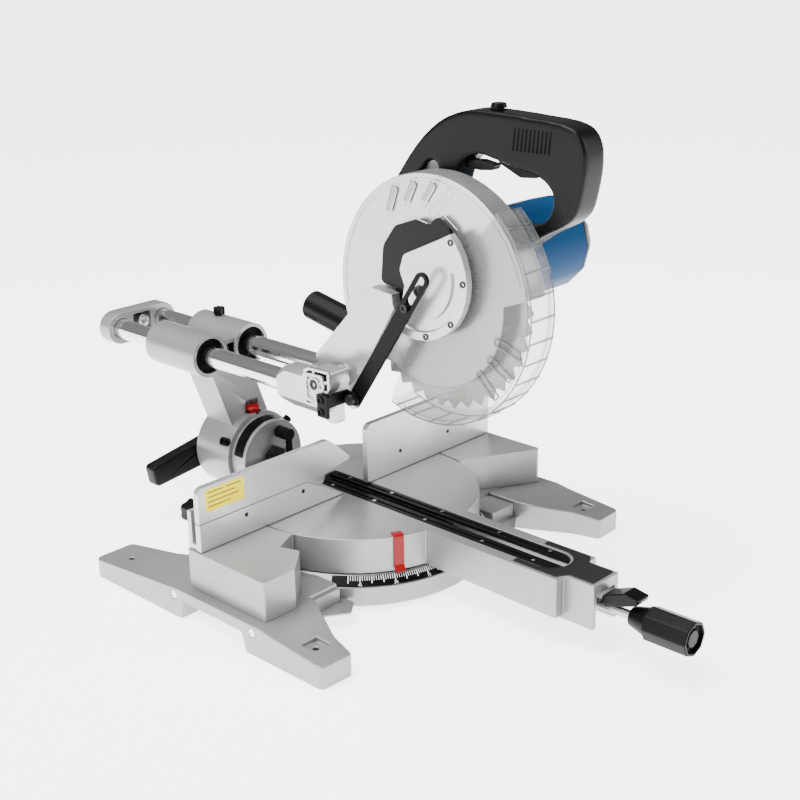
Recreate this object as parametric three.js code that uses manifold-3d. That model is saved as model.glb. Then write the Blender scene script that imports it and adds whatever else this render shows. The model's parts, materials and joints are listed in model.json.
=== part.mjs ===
// Sliding compound mitre saw with a 255 mm blade, on its own four-footed base.
// Millimetres, +Z up. Origin: turntable pivot axis at bench level.
// +X is the operator's right, +Y is towards the back, the operator stands at -Y.
import * as THREE from 'three';
import { mergeVertices } from 'three/addons/utils/BufferGeometryUtils.js';
import Module from 'manifold-3d';

const wasm = await Module();
wasm.setup();

// ---------------------------------------------------------------- driving dimensions
const FIT = 0.3;              // gap between pieces that touch
const RUN = 1.0;              // gap between pieces that move past each other

const TABLE_H = 82;           // table top above the bench
const TABLE_R = 145;          // turntable radius
const TABLE_SKIN = 8;         // thickness of the table top
const SKIRT_DEPTH = 42;       // height of the turntable's side
const SCALE_SLOPE = 11;       // width and drop of the sloping mitre scale ring
const BASE_FLOOR = 6;         // floor of the base bowl
const WING_X = 243;           // outer face of the fixed table wings
const WING_BOTTOM = 36.3;     // underside of the wings, on the feet
const FOOT_X = 256;           // outer face of the feet
const FOOT_FRONT = 200;       // front end of the feet, forward of the pivot
const FOOT_BACK = 185;        // back end of the feet, behind the pivot
const FOOT_WALL = 6;

const SLOT_HALF = 21;         // half width of the kerf slot
const SLOT_FRONT = 310;       // front end of the kerf slot
const SLOT_BACK = 60;         // back end of the kerf slot
const ARM_HALF = 35;          // half width of the table's front arm
const ARM_FRONT = 323;        // where the arm narrows
const ARM_BOTTOM = 36;        // underside of the arm
const NOSE_HALF = 22;         // half width of the arm's nose block
const NOSE_FRONT = 361;       // front face of the nose block
const NOSE_BOTTOM = 31;
const INSERT_T = 4;           // kerf insert thickness
const PIVOT_BOLT_R = 6;

const FENCE_T = 8;            // fence plate thickness
const FENCE_H = 75;           // full fence height over the table
const FENCE_SPLIT = 33;       // height of the fixed part of the left fence
const FENCE_GAP = 16;         // right fence's inner end from the blade

const BEVEL_R = 48;           // fixed bevel disc
const BEVEL_Y = 152;          // front face of the fixed bevel disc
const BEVEL_T = 25.7;         // its thickness
const HUB_R = 53.5;           // tilting hub
const HUB_T = 62;             // tilting hub, front to back
const TILT_ARM_T = 48;        // tilt arm, front to back

const RAIL_R = 13;            // slide rail radius
const RAIL_WALL = 3.5;
const RAIL_RISE = 140;        // rails above the table
const RAIL_X = -28;           // midway between the rails
const RAIL_HALF = 33;         // half the rail spacing
const RAIL_BACK = 386;        // rear end of the rails
const HOUSING_R = 27;         // outside of the bearing tubes
const HOUSING_Y = 190;        // front face of the bearing tubes
const HOUSING_L = 95;         // length of the bearing tubes
const SEAL_R = 22;            // bearing seat
const YOKE_R = 21;            // rear yoke end radius
const YOKE_T = 22;            // rear yoke thickness

const BOSS_R = 26;            // carriage boss around the left rail
const BOSS_BACK = 50;         // rear face of the carriage
const HINGE_Y = -16;          // chop hinge
const HINGE_RISE = 155.5;     // chop hinge above the table
const HINGE_PIN_R = 6;

const BLADE_D = 255;
const BLADE_PLATE = 1.8;
const BLADE_KERF = 2.8;
const TEETH = 40;
const BORE_R = 15;
const GUARD_WALL = 3;
const GUARD_CLEAR = 2;        // upper guard inside, past the teeth
const SHIELD_CLEAR = 6;       // lower guard inside, past the upper guard
const SHIELD_WALL = 2.5;
const ARBOR_RISE = 264;       // arbor above the table, head up
const CASTING_X0 = -17.5;     // left face of the upper guard
const CASTING_X1 = 13.5;      // right face of the upper guard
const SHIELD_SPREAD = 3.5;    // lower guard's side faces, outside those of the upper guard

const MOTOR_R = 52;
const MOTOR_BACK = 32;        // motor axis forward of the arbor
const MOTOR_UP = 36;          // motor axis above the arbor
const MOTOR_X0 = 58.3;
const MOTOR_X1 = 150;
const MOTOR_TIP = 180;
const HANDLE_X = 36;          // mid plane of the main handle
const HANDLE_W = 34;          // handle width

// ---------------------------------------------------------------- derived places
const T = TABLE_H;
const SKIRT_Z = T - SKIRT_DEPTH;
const RING_R = TABLE_R + SCALE_SLOPE + 1;
const SCALE_LOW_Z = SKIRT_Z - 1 - SCALE_SLOPE;
const BLADE_R = BLADE_D / 2;
const GUARD_R = BLADE_R + GUARD_CLEAR + GUARD_WALL;
const SHIELD_R = GUARD_R + SHIELD_CLEAR + SHIELD_WALL;
const HINGE_Z = T + HINGE_RISE;
const ARBOR_Y = HINGE_Y - (SHIELD_R - 24);
const ARBOR_Z = T + ARBOR_RISE;
const MOTOR_Y = ARBOR_Y - MOTOR_BACK;
const MOTOR_Z = ARBOR_Z + MOTOR_UP;
const RAIL_Z = T + RAIL_RISE;
const NEAR_RAIL = RAIL_X - RAIL_HALF;
const FAR_RAIL = RAIL_X + RAIL_HALF;
const SHIELD_X0 = CASTING_X0 - SHIELD_SPREAD;
const SHIELD_X1 = CASTING_X1 + SHIELD_SPREAD;
const HUB_Y = BEVEL_Y + BEVEL_T + FIT;
const HOUSING_BACK = HOUSING_Y + HOUSING_L;
const BUTTON_Y = HUB_Y + 10;
const YOKE_Y = RAIL_BACK - YOKE_T + 6;
const LINK_X = -50;
const LINK_FOOT = [HINGE_Y - 34, HINGE_Z - 16.5];

// ---------------------------------------------------------------- materials
const look = (color, roughness, metalness) => new THREE.MeshStandardMaterial({ color, roughness, metalness });
const castAlu = look(0xb9bbbc, 0.42, 0.55);
const machined = look(0xd2d3d4, 0.30, 0.85);
const steel = look(0xc9ccd0, 0.18, 1.0);
const darkSteel = look(0x4a4c4e, 0.35, 0.9);
const black = look(0x17181a, 0.5, 0.0);
const rubber = look(0x1f2022, 0.85, 0.0);
const blue = look(0x1f6394, 0.4, 0.0);
const greyPlastic = look(0x4b4b4d, 0.45, 0.0);
const red = look(0xd1232a, 0.4, 0.0);
const clear = new THREE.MeshStandardMaterial({ color: 0xe6edf2, roughness: 0.1, transparent: true, opacity: 0.35 });
const scaleBlack = look(0x101112, 0.45, 0.2);
const copper = look(0xa8623a, 0.4, 0.8);

// ---------------------------------------------------------------- shape helpers
// Nested groups, each placed at the axis its pieces turn about or slide from.
const places = new Map();
function nest(parent, x, y, z) {
  const group = new THREE.Group();
  const at = new THREE.Vector3(x, y, z);
  places.set(group, at);
  if (parent) {
    parent.add(group);
    group.position.copy(at).sub(places.get(parent));
  }
  return group;
}
const base = nest(null, 0, 0, 0);
const turn = nest(base, 0, 0, TABLE_H);
const tilt = nest(turn, 0, HUB_Y, TABLE_H);
const slide = nest(tilt, RAIL_X, 0, RAIL_Z);
const link = nest(slide, LINK_X, ...LINK_FOOT);
const head = nest(slide, 0, HINGE_Y, HINGE_Z);
const blade = nest(head, 0, ARBOR_Y, ARBOR_Z);
const shield = nest(head, 0, ARBOR_Y, ARBOR_Z);
let group = base;
const into = (next) => {
  group = next;
};

// A closed geometry as a manifold solid, its faces turned outwards.
function solid(geometry) {
  const plain = geometry.index ? geometry.toNonIndexed() : geometry;
  plain.deleteAttribute('normal');
  plain.deleteAttribute('uv');
  const merged = mergeVertices(plain, 1e-4);
  const vertProperties = new Float32Array(merged.attributes.position.array);
  const triVerts = new Uint32Array(merged.index.array);
  if (signedVolume(vertProperties, triVerts) < 0) triVerts.reverse();
  return new wasm.Manifold(new wasm.Mesh({ numProp: 3, vertProperties, triVerts }));
}

function signedVolume(points, triangles) {
  const corner = (i) => new THREE.Vector3().fromArray(points, 3 * triangles[i]);
  let sum = 0;
  for (let i = 0; i < triangles.length; i += 3) {
    sum += corner(i).dot(corner(i + 1).cross(corner(i + 2)));
  }
  return sum / 6;
}

const join = (first, ...rest) => rest.reduce((all, next) => all.add(next), first);
const cut = (first, ...rest) => rest.reduce((all, next) => all.subtract(next), first);
const both = (a, b) => a.intersect(b);

// A named sub-part: a mesh made from a solid.
function part(name, body, material) {
  const { vertProperties, triVerts } = body.getMesh();
  const geometry = new THREE.BufferGeometry();
  geometry.setAttribute('position', new THREE.BufferAttribute(new Float32Array(vertProperties), 3));
  geometry.setIndex(new THREE.BufferAttribute(new Uint32Array(triVerts), 1));
  const mesh = new THREE.Mesh(geometry, material);
  mesh.name = name;
  geometry.translate(...places.get(group).clone().negate().toArray());
  group.add(mesh);
  return mesh;
}

// Outline points, where a third number rounds that corner.
function outline(points) {
  const path = [];
  points.forEach(([x, y, r = 0], i) => {
    const corner = new THREE.Vector2(x, y);
    if (r === 0) {
      path.push(corner);
      return;
    }
    const count = points.length;
    const back = new THREE.Vector2(...points[(i + count - 1) % count]).sub(corner).normalize();
    const ahead = new THREE.Vector2(...points[(i + 1) % count]).sub(corner).normalize();
    const half = Math.acos(THREE.MathUtils.clamp(back.dot(ahead), -1, 1)) / 2;
    const reach = r / Math.tan(half);
    const middle = back.clone().add(ahead).normalize().multiplyScalar(r / Math.sin(half)).add(corner);
    const from = back.clone().multiplyScalar(reach).add(corner).sub(middle);
    const sweep = -Math.sign(back.cross(ahead)) * (Math.PI - 2 * half);
    const steps = Math.max(2, Math.ceil(Math.abs(sweep) / 0.4));
    for (let s = 0; s <= steps; s += 1) {
      path.push(from.clone().rotateAround(new THREE.Vector2(), sweep * (s / steps)).add(middle));
    }
  });
  return path;
}

const arc = (cx, cy, r, from, to, steps) => Array.from({ length: steps + 1 }, (_, i) => {
  const angle = THREE.MathUtils.degToRad(from + (to - from) * (i / steps));
  return [cx + r * Math.cos(angle), cy + r * Math.sin(angle)];
});

const SIDE = new THREE.Matrix4().makeBasis(
  new THREE.Vector3(0, 1, 0), new THREE.Vector3(0, 0, 1), new THREE.Vector3(1, 0, 0));
const FRONT = new THREE.Matrix4().makeBasis(
  new THREE.Vector3(1, 0, 0), new THREE.Vector3(0, 0, 1), new THREE.Vector3(0, -1, 0));

function prism(points, depth) {
  return new THREE.ExtrudeGeometry(new THREE.Shape(outline(points)), { depth, bevelEnabled: false });
}

// Outline in x, y between two heights.
const plan = (points, z0, z1) => solid(prism(points, z1 - z0).translate(0, 0, z0));
// Outline in y, z between two x places.
const side = (points, x0, x1) => solid(prism(points, x1 - x0).applyMatrix4(SIDE).translate(x0, 0, 0));
// Outline in x, z between two y places.
const front = (points, y0, y1) => solid(prism(points, y1 - y0).applyMatrix4(FRONT).translate(0, y1, 0));

function box(x0, x1, y0, y1, z0, z1) {
  const geometry = new THREE.BoxGeometry(x1 - x0, y1 - y0, z1 - z0);
  return solid(geometry.translate((x0 + x1) / 2, (y0 + y1) / 2, (z0 + z1) / 2));
}

// A round bar between two points, which may taper.
function rod(from, to, r, segments = 16, rEnd = r) {
  const a = new THREE.Vector3(...from);
  const b = new THREE.Vector3(...to);
  const along = b.clone().sub(a);
  const geometry = new THREE.CylinderGeometry(rEnd, r, along.length(), segments);
  geometry.applyQuaternion(new THREE.Quaternion().setFromUnitVectors(
    new THREE.Vector3(0, 1, 0), along.clone().normalize()));
  const middle = a.add(b).multiplyScalar(0.5);
  return solid(geometry.translate(middle.x, middle.y, middle.z));
}

const tube = (from, to, r, rIn, segments = 20) => {
  const a = new THREE.Vector3(...from);
  const b = new THREE.Vector3(...to);
  const past = b.clone().sub(a).normalize();
  return cut(rod(from, to, r, segments),
    rod(a.clone().sub(past).toArray(), b.clone().add(past).toArray(), rIn, segments));
};

// A turned piece: profile of [radius, height] from axis to axis, about a direction.
function turned(profile, origin, direction, segments = 28) {
  const points = profile.map(([r, h]) => new THREE.Vector2(r, h));
  const geometry = new THREE.LatheGeometry(points, segments);
  geometry.applyQuaternion(new THREE.Quaternion().setFromUnitVectors(
    new THREE.Vector3(0, 1, 0), new THREE.Vector3(...direction).normalize()));
  return solid(geometry.translate(...origin));
}

const ball = (centre, r, segments = 16) => solid(
  new THREE.SphereGeometry(r, segments, segments / 2).translate(...centre));
const mirrored = (points) => points.map(([x, y, r]) => [-x, y, r]).reverse();

// ---------------------------------------------------------------- base
function baseCasting() {
  const bowl = turned([
    [0, BASE_FLOOR], [24, BASE_FLOOR], [24, 0], [30, 0], [30, BASE_FLOOR - 2], [RING_R - 3, BASE_FLOOR - 2],
    [RING_R, BASE_FLOOR + 2], [RING_R, SCALE_LOW_Z], [RING_R - SCALE_SLOPE, SKIRT_Z - 1],
    [TABLE_R - 8, SKIRT_Z - 1], [TABLE_R - 8, BASE_FLOOR + 4], [26, BASE_FLOOR + 4], [26, SKIRT_Z - 5],
    [0, SKIRT_Z - 5],
  ], [0, 0, 0], [0, 0, 1], 48);
  const pad = rod([0, 0, 0], [0, 0, BASE_FLOOR + 1], 26, 20);
  const leftWing = plan([
    [-WING_X, 22, 3], [-WING_X, -103, 4], [-199, -103, 4], [-165, -74, 3], [-173, -51], [-TABLE_R - 1, -38],
    [-TABLE_R + 20, -38], [-TABLE_R + 20, 22],
  ], WING_BOTTOM, T);
  const rightWing = plan([
    [WING_X, 22, 3], [TABLE_R - 20, 22], [TABLE_R - 20, -37], [TABLE_R + 3, -37], [WING_X, -88, 4],
  ], WING_BOTTOM, T);
  const tie = join(
    box(-WING_X + 12, -TABLE_R + 12, -96, 20, WING_BOTTOM - 10, WING_BOTTOM + 1),
    box(TABLE_R - 12, WING_X - 12, -60, 20, WING_BOTTOM - 10, WING_BOTTOM + 1));
  const web = (s) => join(
    box(...(s < 0 ? [-172, -132] : [132, 172]), -100, 90, BASE_FLOOR, WING_BOTTOM - 4),
    plan(s < 0
      ? [[-174, -104], [-141, -127, 4], [-122, -112], [-122, -80], [-174, -80]]
      : [[174, -80], [122, -80], [122, -112], [141, -127, 4], [174, -104]], 14, 16));
  const tableWell = rod([0, 0, SKIRT_Z - 0.5], [0, 0, T + 1], TABLE_R + 1.5, 56);
  const bowlWell = rod([0, 0, BASE_FLOOR + 4], [0, 0, T], TABLE_R - 8, 48);
  const pocket = (x0, x1, y0, y1) => box(x0, x1, y0, y1, 0, T - 8);
  const feetRoom = join(
    box(-FOOT_X - 1, -172 + FIT, -FOOT_FRONT, FOOT_BACK, -1, WING_BOTTOM - FIT),
    box(172 - FIT, FOOT_X + 1, -FOOT_FRONT, FOOT_BACK, -1, WING_BOTTOM - FIT));
  const outer = cut(join(leftWing, rightWing, tie, web(-1), web(1)), bowlWell, tableWell, feetRoom);
  const shell = join(bowl, pad, outer);
  const boltHole = rod([0, 0, 12], [0, 0, T], PIVOT_BOLT_R + FIT, 16);
  return cut(shell, boltHole,
    pocket(-WING_X + 8, -182, -60, 16), pocket(182, WING_X - 8, -40, 16), tableWell);
}
part('base_casting', baseCasting(), castAlu);

// The feet's top is level under the wing and falls to both ends.
const footTop = [
  [-FOOT_FRONT, 26], [-FOOT_FRONT + 76, 33], [-106, WING_BOTTOM - FIT], [26, WING_BOTTOM - FIT],
  [FOOT_BACK, 22],
];
function foot(s) {
  const planPoints = [
    [-FOOT_X, -FOOT_FRONT, 6], [-214, -FOOT_FRONT - 2, 5], [-205, -167, 8], [-173, -106], [-173, 60],
    [-190, 110, 10], [-202, FOOT_BACK, 5], [-FOOT_X, FOOT_BACK, 10],
  ];
  const profile = [
    [-FOOT_FRONT - 3, 0], [-84, 0, 2], [-78, 22, 3], [20, 22, 3], [24, 0, 2], [FOOT_BACK + 1, 0],
    [FOOT_BACK + 1, 21.9], ...footTop.slice().reverse(), [-FOOT_FRONT - 3, 25.8],
  ];
  const body = both(plan(s < 0 ? planPoints : mirrored(planPoints), -1, 60),
    side(profile, ...(s < 0 ? [-FOOT_X - 1, -170] : [170, FOOT_X + 1])));
  const x = (v) => s * v;
  const hollow = (y0, y1, z1) => box(Math.min(x(FOOT_X - FOOT_WALL), x(214)), Math.max(x(FOOT_X - FOOT_WALL), x(214)),
    y0, y1, -1, z1);
  const hole = (px, py) => rod([x(px), py, -1], [x(px), py, 60], 3.6, 10);
  const sink = (px, py, z) => box(x(px) - 11, x(px) + 11, py - 10, py + 10, z, 60);
  const sideHole = (py) => rod([x(FOOT_X - 5), py, 26], [x(FOOT_X + 2), py, 26], 4.5, 10);
  return cut(body, hollow(-182, -148, 14), hollow(-136, -94, 14), hollow(34, 120, 10),
    hole(230, -165), hole(231, 145), sink(230, -165, 24.5), sideHole(-84 - 10), sideHole(24 + 12));
}
part('left_foot', foot(-1), castAlu);
part('right_foot', foot(1), castAlu);


// Mitre scale: a black band lying on the sloping ring, open at the back.
function mitreScale() {
  const lift = 0.9;
  const inner = RING_R - SCALE_SLOPE + 1;
  const top = SKIRT_Z - 1 - 1;
  const ring = turned([
    [inner, top + FIT], [inner + lift, top + lift + FIT], [RING_R - 1 + lift, SCALE_LOW_Z + 1 + lift + FIT],
    [RING_R - 1, SCALE_LOW_Z + 1 + FIT], [inner, top + FIT],
  ], [0, 0, 0], [0, 0, 1], 56);
  const sector = plan([[0, 0], ...arc(0, 0, 260, -147, -33, 16)], 0, T);
  const wings = join(box(-WING_X, -172, -200, 200, 0, T), box(172, WING_X, -200, 200, 0, T));
  return cut(both(ring, sector), wings);
}
part('mitre_scale', mitreScale(), scaleBlack);

// ---------------------------------------------------------------- fences
const fenceTop = T + FENCE_H;
const fenceFoot = T + FIT + 0.3;
function rightFence() {
  const plate = front([
    [FENCE_GAP, fenceFoot], [WING_X - 1, fenceFoot], [WING_X - 1, fenceTop, 4], [FENCE_GAP, fenceTop, 9],
  ], 0, FENCE_T);
  const flange = box(TABLE_R + 5, WING_X - 3, FENCE_T - 1, FENCE_T + 13, fenceFoot, fenceFoot + 9);
  const rib = (x) => side([[FENCE_T - 1, fenceFoot], [FENCE_T + 13, fenceFoot], [FENCE_T - 1, fenceTop - 16]], x, x + 5);
  const hole = (x) => rod([x, -1, T + 25], [x, FENCE_T + 1, T + 25], 2.6, 10);
  return cut(join(plate, flange, rib(TABLE_R + 9), rib(WING_X - 16)), hole(74), hole(162));
}
part('right_fence', rightFence(), machined);

const SLANT_X = -83;          // where the fixed left fence starts to slope down
const SLANT_END = -24;
function leftFence() {
  const plate = front([
    [-WING_X + 2, fenceFoot], [SLANT_END, fenceFoot], [SLANT_X, T + FENCE_SPLIT], [-WING_X + 2, T + FENCE_SPLIT],
  ], 0, FENCE_T);
  const flange = box(-WING_X + 3, -TABLE_R - 5, FENCE_T - 1, FENCE_T + 14, fenceFoot, fenceFoot + 7);
  const block = box(-WING_X + 3, -WING_X + 30, FENCE_T + 8, FENCE_T + 14, fenceFoot, T + FENCE_SPLIT + 12);
  const hole = (x) => rod([x, -1, T + 24], [x, FENCE_T + 1, T + 24], 2.6, 10);
  const clampHole = rod([-WING_X + 17, 0, T + FENCE_SPLIT + 4], [-WING_X + 17, 40, T + FENCE_SPLIT + 4], 3.4, 10);
  return cut(join(plate, flange, block), hole(-89), hole(-175), clampHole);
}
part('left_fence', leftFence(), machined);

function slidingFence() {
  const z0 = T + FENCE_SPLIT + 0.5;
  const plate = front([
    [-WING_X + 2, z0], [-50, z0], [-46, T + 36, 2], [-10, T + 42, 3], [-38, fenceTop - 7, 3], [-48, fenceTop, 4],
    [-WING_X + 2, fenceTop, 8],
  ], 0, FENCE_T);
  const tongue = front([
    [-WING_X + 34, T + 14], [-86, T + 14, 4], [-60, T + 18, 4], [-48, T + 20, 6], [-42, T + 42], [-60, T + 56],
    [-WING_X + 34, T + 56],
  ], FENCE_T + FIT, FENCE_T + 6.5);
  const neck = box(-WING_X + 34, -60, FENCE_T - 1, FENCE_T + 1, z0, T + 56);
  return join(plate, tongue, neck);
}
part('sliding_fence', slidingFence(), machined);

// Clamp knob behind the left end of the fence.
const knobSpot = [-WING_X + 17, T + FENCE_SPLIT + 4];
function lobedKnob(centre, direction, r, lobes, height) {
  const shape = Array.from({ length: lobes * 6 }, (_, i) => {
    const angle = (i / (lobes * 6)) * 2 * Math.PI;
    const reach = r * (0.9 + 0.1 * Math.cos(angle * lobes));
    return [reach * Math.cos(angle), reach * Math.sin(angle)];
  });
  const geometry = prism(shape, height);
  geometry.applyQuaternion(new THREE.Quaternion().setFromUnitVectors(
    new THREE.Vector3(0, 0, 1), new THREE.Vector3(...direction).normalize()));
  return solid(geometry.translate(...centre));
}
part('fence_clamp_knob', join(
  rod([knobSpot[0], FENCE_T + 7, knobSpot[1]], [knobSpot[0], FENCE_T + 20, knobSpot[1]], 3, 10),
  lobedKnob([knobSpot[0], FENCE_T + 14 + FIT + 1, knobSpot[1]], [0, 1, 0], 13, 5, 14)), black);


// ---------------------------------------------------------------- turntable
into(turn);
function turntable() {
  const disc = rod([0, 0, SKIRT_Z], [0, 0, T], TABLE_R, 56);
  const inside = rod([0, 0, SKIRT_Z - 1], [0, 0, T - TABLE_SKIN], TABLE_R - 9, 40);
  const arm = box(-ARM_HALF, ARM_HALF, -ARM_FRONT, -TABLE_R + 20, ARM_BOTTOM, T);
  const armSkirt = side([[-TABLE_R + 21, SKIRT_Z], [-ARM_FRONT + 20, ARM_BOTTOM], [-ARM_FRONT - 1, ARM_BOTTOM],
    [-ARM_FRONT - 1, T], [-TABLE_R + 21, T]], -ARM_HALF - 1, ARM_HALF + 1);
  const armInside = box(-ARM_HALF + 7, ARM_HALF - 7, -ARM_FRONT + 9, -TABLE_R + 60, 0, T - TABLE_SKIN);
  const nose = box(-NOSE_HALF, NOSE_HALF, -NOSE_FRONT, -ARM_FRONT + 10, NOSE_BOTTOM, T);
  const mouth = box(-NOSE_HALF + 6, NOSE_HALF - 6, -NOSE_FRONT - 1, -ARM_FRONT - 4, 0, T - 12);
  const tunnel = box(-NOSE_HALF + 10, NOSE_HALF - 10, -NOSE_FRONT, -ARM_FRONT + 20, T - 40, T - 16);
  const boss = rod([0, 0, SKIRT_Z - 5 + FIT], [0, 0, T - 20], 22, 20);
  const rib = box(-TABLE_R + 5, TABLE_R - 5, -6, 6, SKIRT_Z + 2, T - 20);
  const lug = box(-40, 40, TABLE_R - 22, BEVEL_Y + 2, SKIRT_Z + 1, T - 5);
  const disk = rod([0, BEVEL_Y, T], [0, BEVEL_Y + BEVEL_T, T], BEVEL_R, 40);
  const slot = plan([
    [SLOT_HALF, SLOT_BACK], [-SLOT_HALF, SLOT_BACK],
    ...arc(0, -SLOT_FRONT + SLOT_HALF, SLOT_HALF, 180, 360, 14),
  ], T - TABLE_SKIN - 1, T + 1);
  const ledge = (s) => box(...(s < 0 ? [-SLOT_HALF - 1, -SLOT_HALF + 5] : [SLOT_HALF - 5, SLOT_HALF + 1]),
    -SLOT_FRONT + 24, SLOT_BACK - 2, T - TABLE_SKIN - 3, T - INSERT_T - 1);
  const tableEdge = cut(join(cut(disc, inside), both(arm, armSkirt)), armInside);
  const body = join(tableEdge, nose, boss, rib, cut(lug, inside), disk);
  const bolt = rod([0, 0, 0], [0, 0, T], PIVOT_BOLT_R + FIT, 16);
  const shaft = rod([0, BEVEL_Y - 30, T], [0, HUB_Y + 10, T], 8 + FIT, 16);
  const pinHole = rod([10, BEVEL_Y - 1, T + 31], [10, BEVEL_Y + BEVEL_T + 1, T + 31], 5 + FIT, 10);
  const headRoom = rod([0, BEVEL_Y - 8, T], [0, BEVEL_Y, T], 16, 20);
  const rodWay = rod([0, -NOSE_FRONT - 1, T - 30], [0, -TABLE_R + 22, T - 30], 5 + FIT, 10);
  const skin = cut(body, slot, mouth, tunnel, bolt, shaft, pinHole, headRoom, rodWay);
  return join(skin, ledge(-1), ledge(1));
}
part('turntable_casting', turntable(), castAlu);

// Kerf inserts, wider open on the right for bevel cuts, with long ribs.
function insert(x0, x1) {
  const plate = box(x0, x1, -SLOT_FRONT, SLOT_BACK - 1, T - INSERT_T - 0.6, T - 0.8);
  const window = plan([
    [SLOT_HALF - 0.6, SLOT_BACK], [-SLOT_HALF + 0.6, SLOT_BACK],
    ...arc(0, -SLOT_FRONT + SLOT_HALF, SLOT_HALF - 0.6, 180, 360, 14),
  ], 0, T + 5);
  const grooveX = (x0 + x1) / 2;
  const groove = box(grooveX - 1.5, grooveX + 1.5, -SLOT_FRONT + 30, SLOT_BACK - 10, T - 2.6, T);
  return cut(both(plate, window), groove);
}
part('kerf_insert_left', insert(-SLOT_HALF + 0.6, -4), black);
part('kerf_insert_right', insert(8.5, SLOT_HALF - 0.6), black);

// Dark cover plate on the arm around the slot's end and over the nose.
const armCover = () => {
  const sheet = plan([
    [-ARM_HALF + 4, -262], [-ARM_HALF + 4, -ARM_FRONT + 5, 3], [-NOSE_HALF + 4, -ARM_FRONT - 4, 3],
    [-NOSE_HALF + 4, -NOSE_FRONT + 4, 2], [NOSE_HALF - 4, -NOSE_FRONT + 4, 2], [NOSE_HALF - 4, -ARM_FRONT - 4, 3],
    [ARM_HALF - 4, -ARM_FRONT + 5, 3], [ARM_HALF - 4, -262],
  ], T + FIT, T + 1.3);
  const window = plan([
    [SLOT_HALF + 3, -200], [-SLOT_HALF - 3, -200],
    ...arc(0, -SLOT_FRONT + SLOT_HALF, SLOT_HALF + 3, 180, 360, 14),
  ], T - 1, T + 5);
  return cut(sheet, window);
};
part('arm_cover', armCover(), greyPlastic);

// Red pointer over the table's edge, left of the arm.
const POINTER_TURN = -117.5;
function pointer() {
  const half = 6;
  const r0 = TABLE_R - 9;
  const r1 = TABLE_R + FIT;
  const r2 = TABLE_R + 2.6;
  const top = T + FIT;
  const section = [[r0, top], [r0, top + 1.6], [r1 + 0.5, top + 2.2], [r2, top], [r2, SKIRT_Z + 8],
    [r2 + 5, SKIRT_Z + 2], [r2 + 3, SKIRT_Z + 0.6], [r1, SKIRT_Z + 5], [r1, top]];
  const geometry = prism(section, 2 * half).applyMatrix4(FRONT).translate(0, half, 0);
  geometry.rotateZ(THREE.MathUtils.degToRad(POINTER_TURN));
  return solid(geometry);
}
part('mitre_pointer', pointer(), red);

part('table_pivot_bolt', turned([
  [0, 13], [PIVOT_BOLT_R, 13], [PIVOT_BOLT_R, T - 20 + FIT], [11, T - 20 + FIT], [11, T - 14], [0, T - 14],
], [0, 0, 0], [0, 0, 1], 6 * 4), steel);

// Bevel scale: a black strip bent over the top left of the fixed disc.
function bevelScale() {
  const y0 = BEVEL_Y + 5;
  const strip = tube([0, y0, T], [0, y0 + 15, T], BEVEL_R + 1.1, BEVEL_R + FIT, 40);
  const window = front([[0, T], ...arc(0, T, 90, 68, 168, 12)], y0 - 2, y0 + 20);
  return both(strip, window);
}
part('bevel_scale', bevelScale(), scaleBlack);

part('bevel_shaft', join(
  rod([0, BEVEL_Y + 2, T], [0, HUB_Y + HUB_T + 30, T], 8, 16),
  rod([0, BEVEL_Y - 7, T], [0, BEVEL_Y - FIT, T], 15, 6),
  rod([0, BEVEL_Y - 1, T], [0, BEVEL_Y + 3, T], 8, 16)), darkSteel);


// ---------------------------------------------------------------- mitre lock knob and detent lever
const KNOB_Z = T - 30;
const knobEnd = -NOSE_FRONT - 108;
part('mitre_lock_rod', rod([0, -NOSE_FRONT - 36, KNOB_Z], [0, -TABLE_R + 14, KNOB_Z], 5, 10), steel);
function lockKnob() {
  const y0 = -NOSE_FRONT - 33;
  const profile = [
    [0, y0], [9, y0], [11, y0 - 10], [17, y0 - 16], [19.5, y0 - 20], [19.5, knobEnd + 6], [17.5, knobEnd],
    [13, knobEnd], [12, knobEnd + 6], [7, knobEnd + 6], [6, knobEnd + 2], [0, knobEnd + 2],
  ].map(([r, y]) => [r, -y]);
  const body = turned(profile, [0, 0, KNOB_Z], [0, -1, 0], 16);
  const bore = rod([0, y0 - 4, KNOB_Z], [0, y0 + 1, KNOB_Z], 5 + FIT, 10);
  return cut(body, bore);
}
part('mitre_lock_knob', lockKnob(), black);
const LEVER_PIVOT = [-NOSE_FRONT - 4, T - 16];
part('detent_lever', join(
  side([[-NOSE_FRONT + 1, T - 24], [-NOSE_FRONT - 3, T - 13, 2], [-NOSE_FRONT - 28, T - 3, 3],
    [-NOSE_FRONT - 46, T - 6, 2], [-NOSE_FRONT - 44, T - 12, 2], [-NOSE_FRONT - 26, T - 19]], -11, 11)), black);

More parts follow.
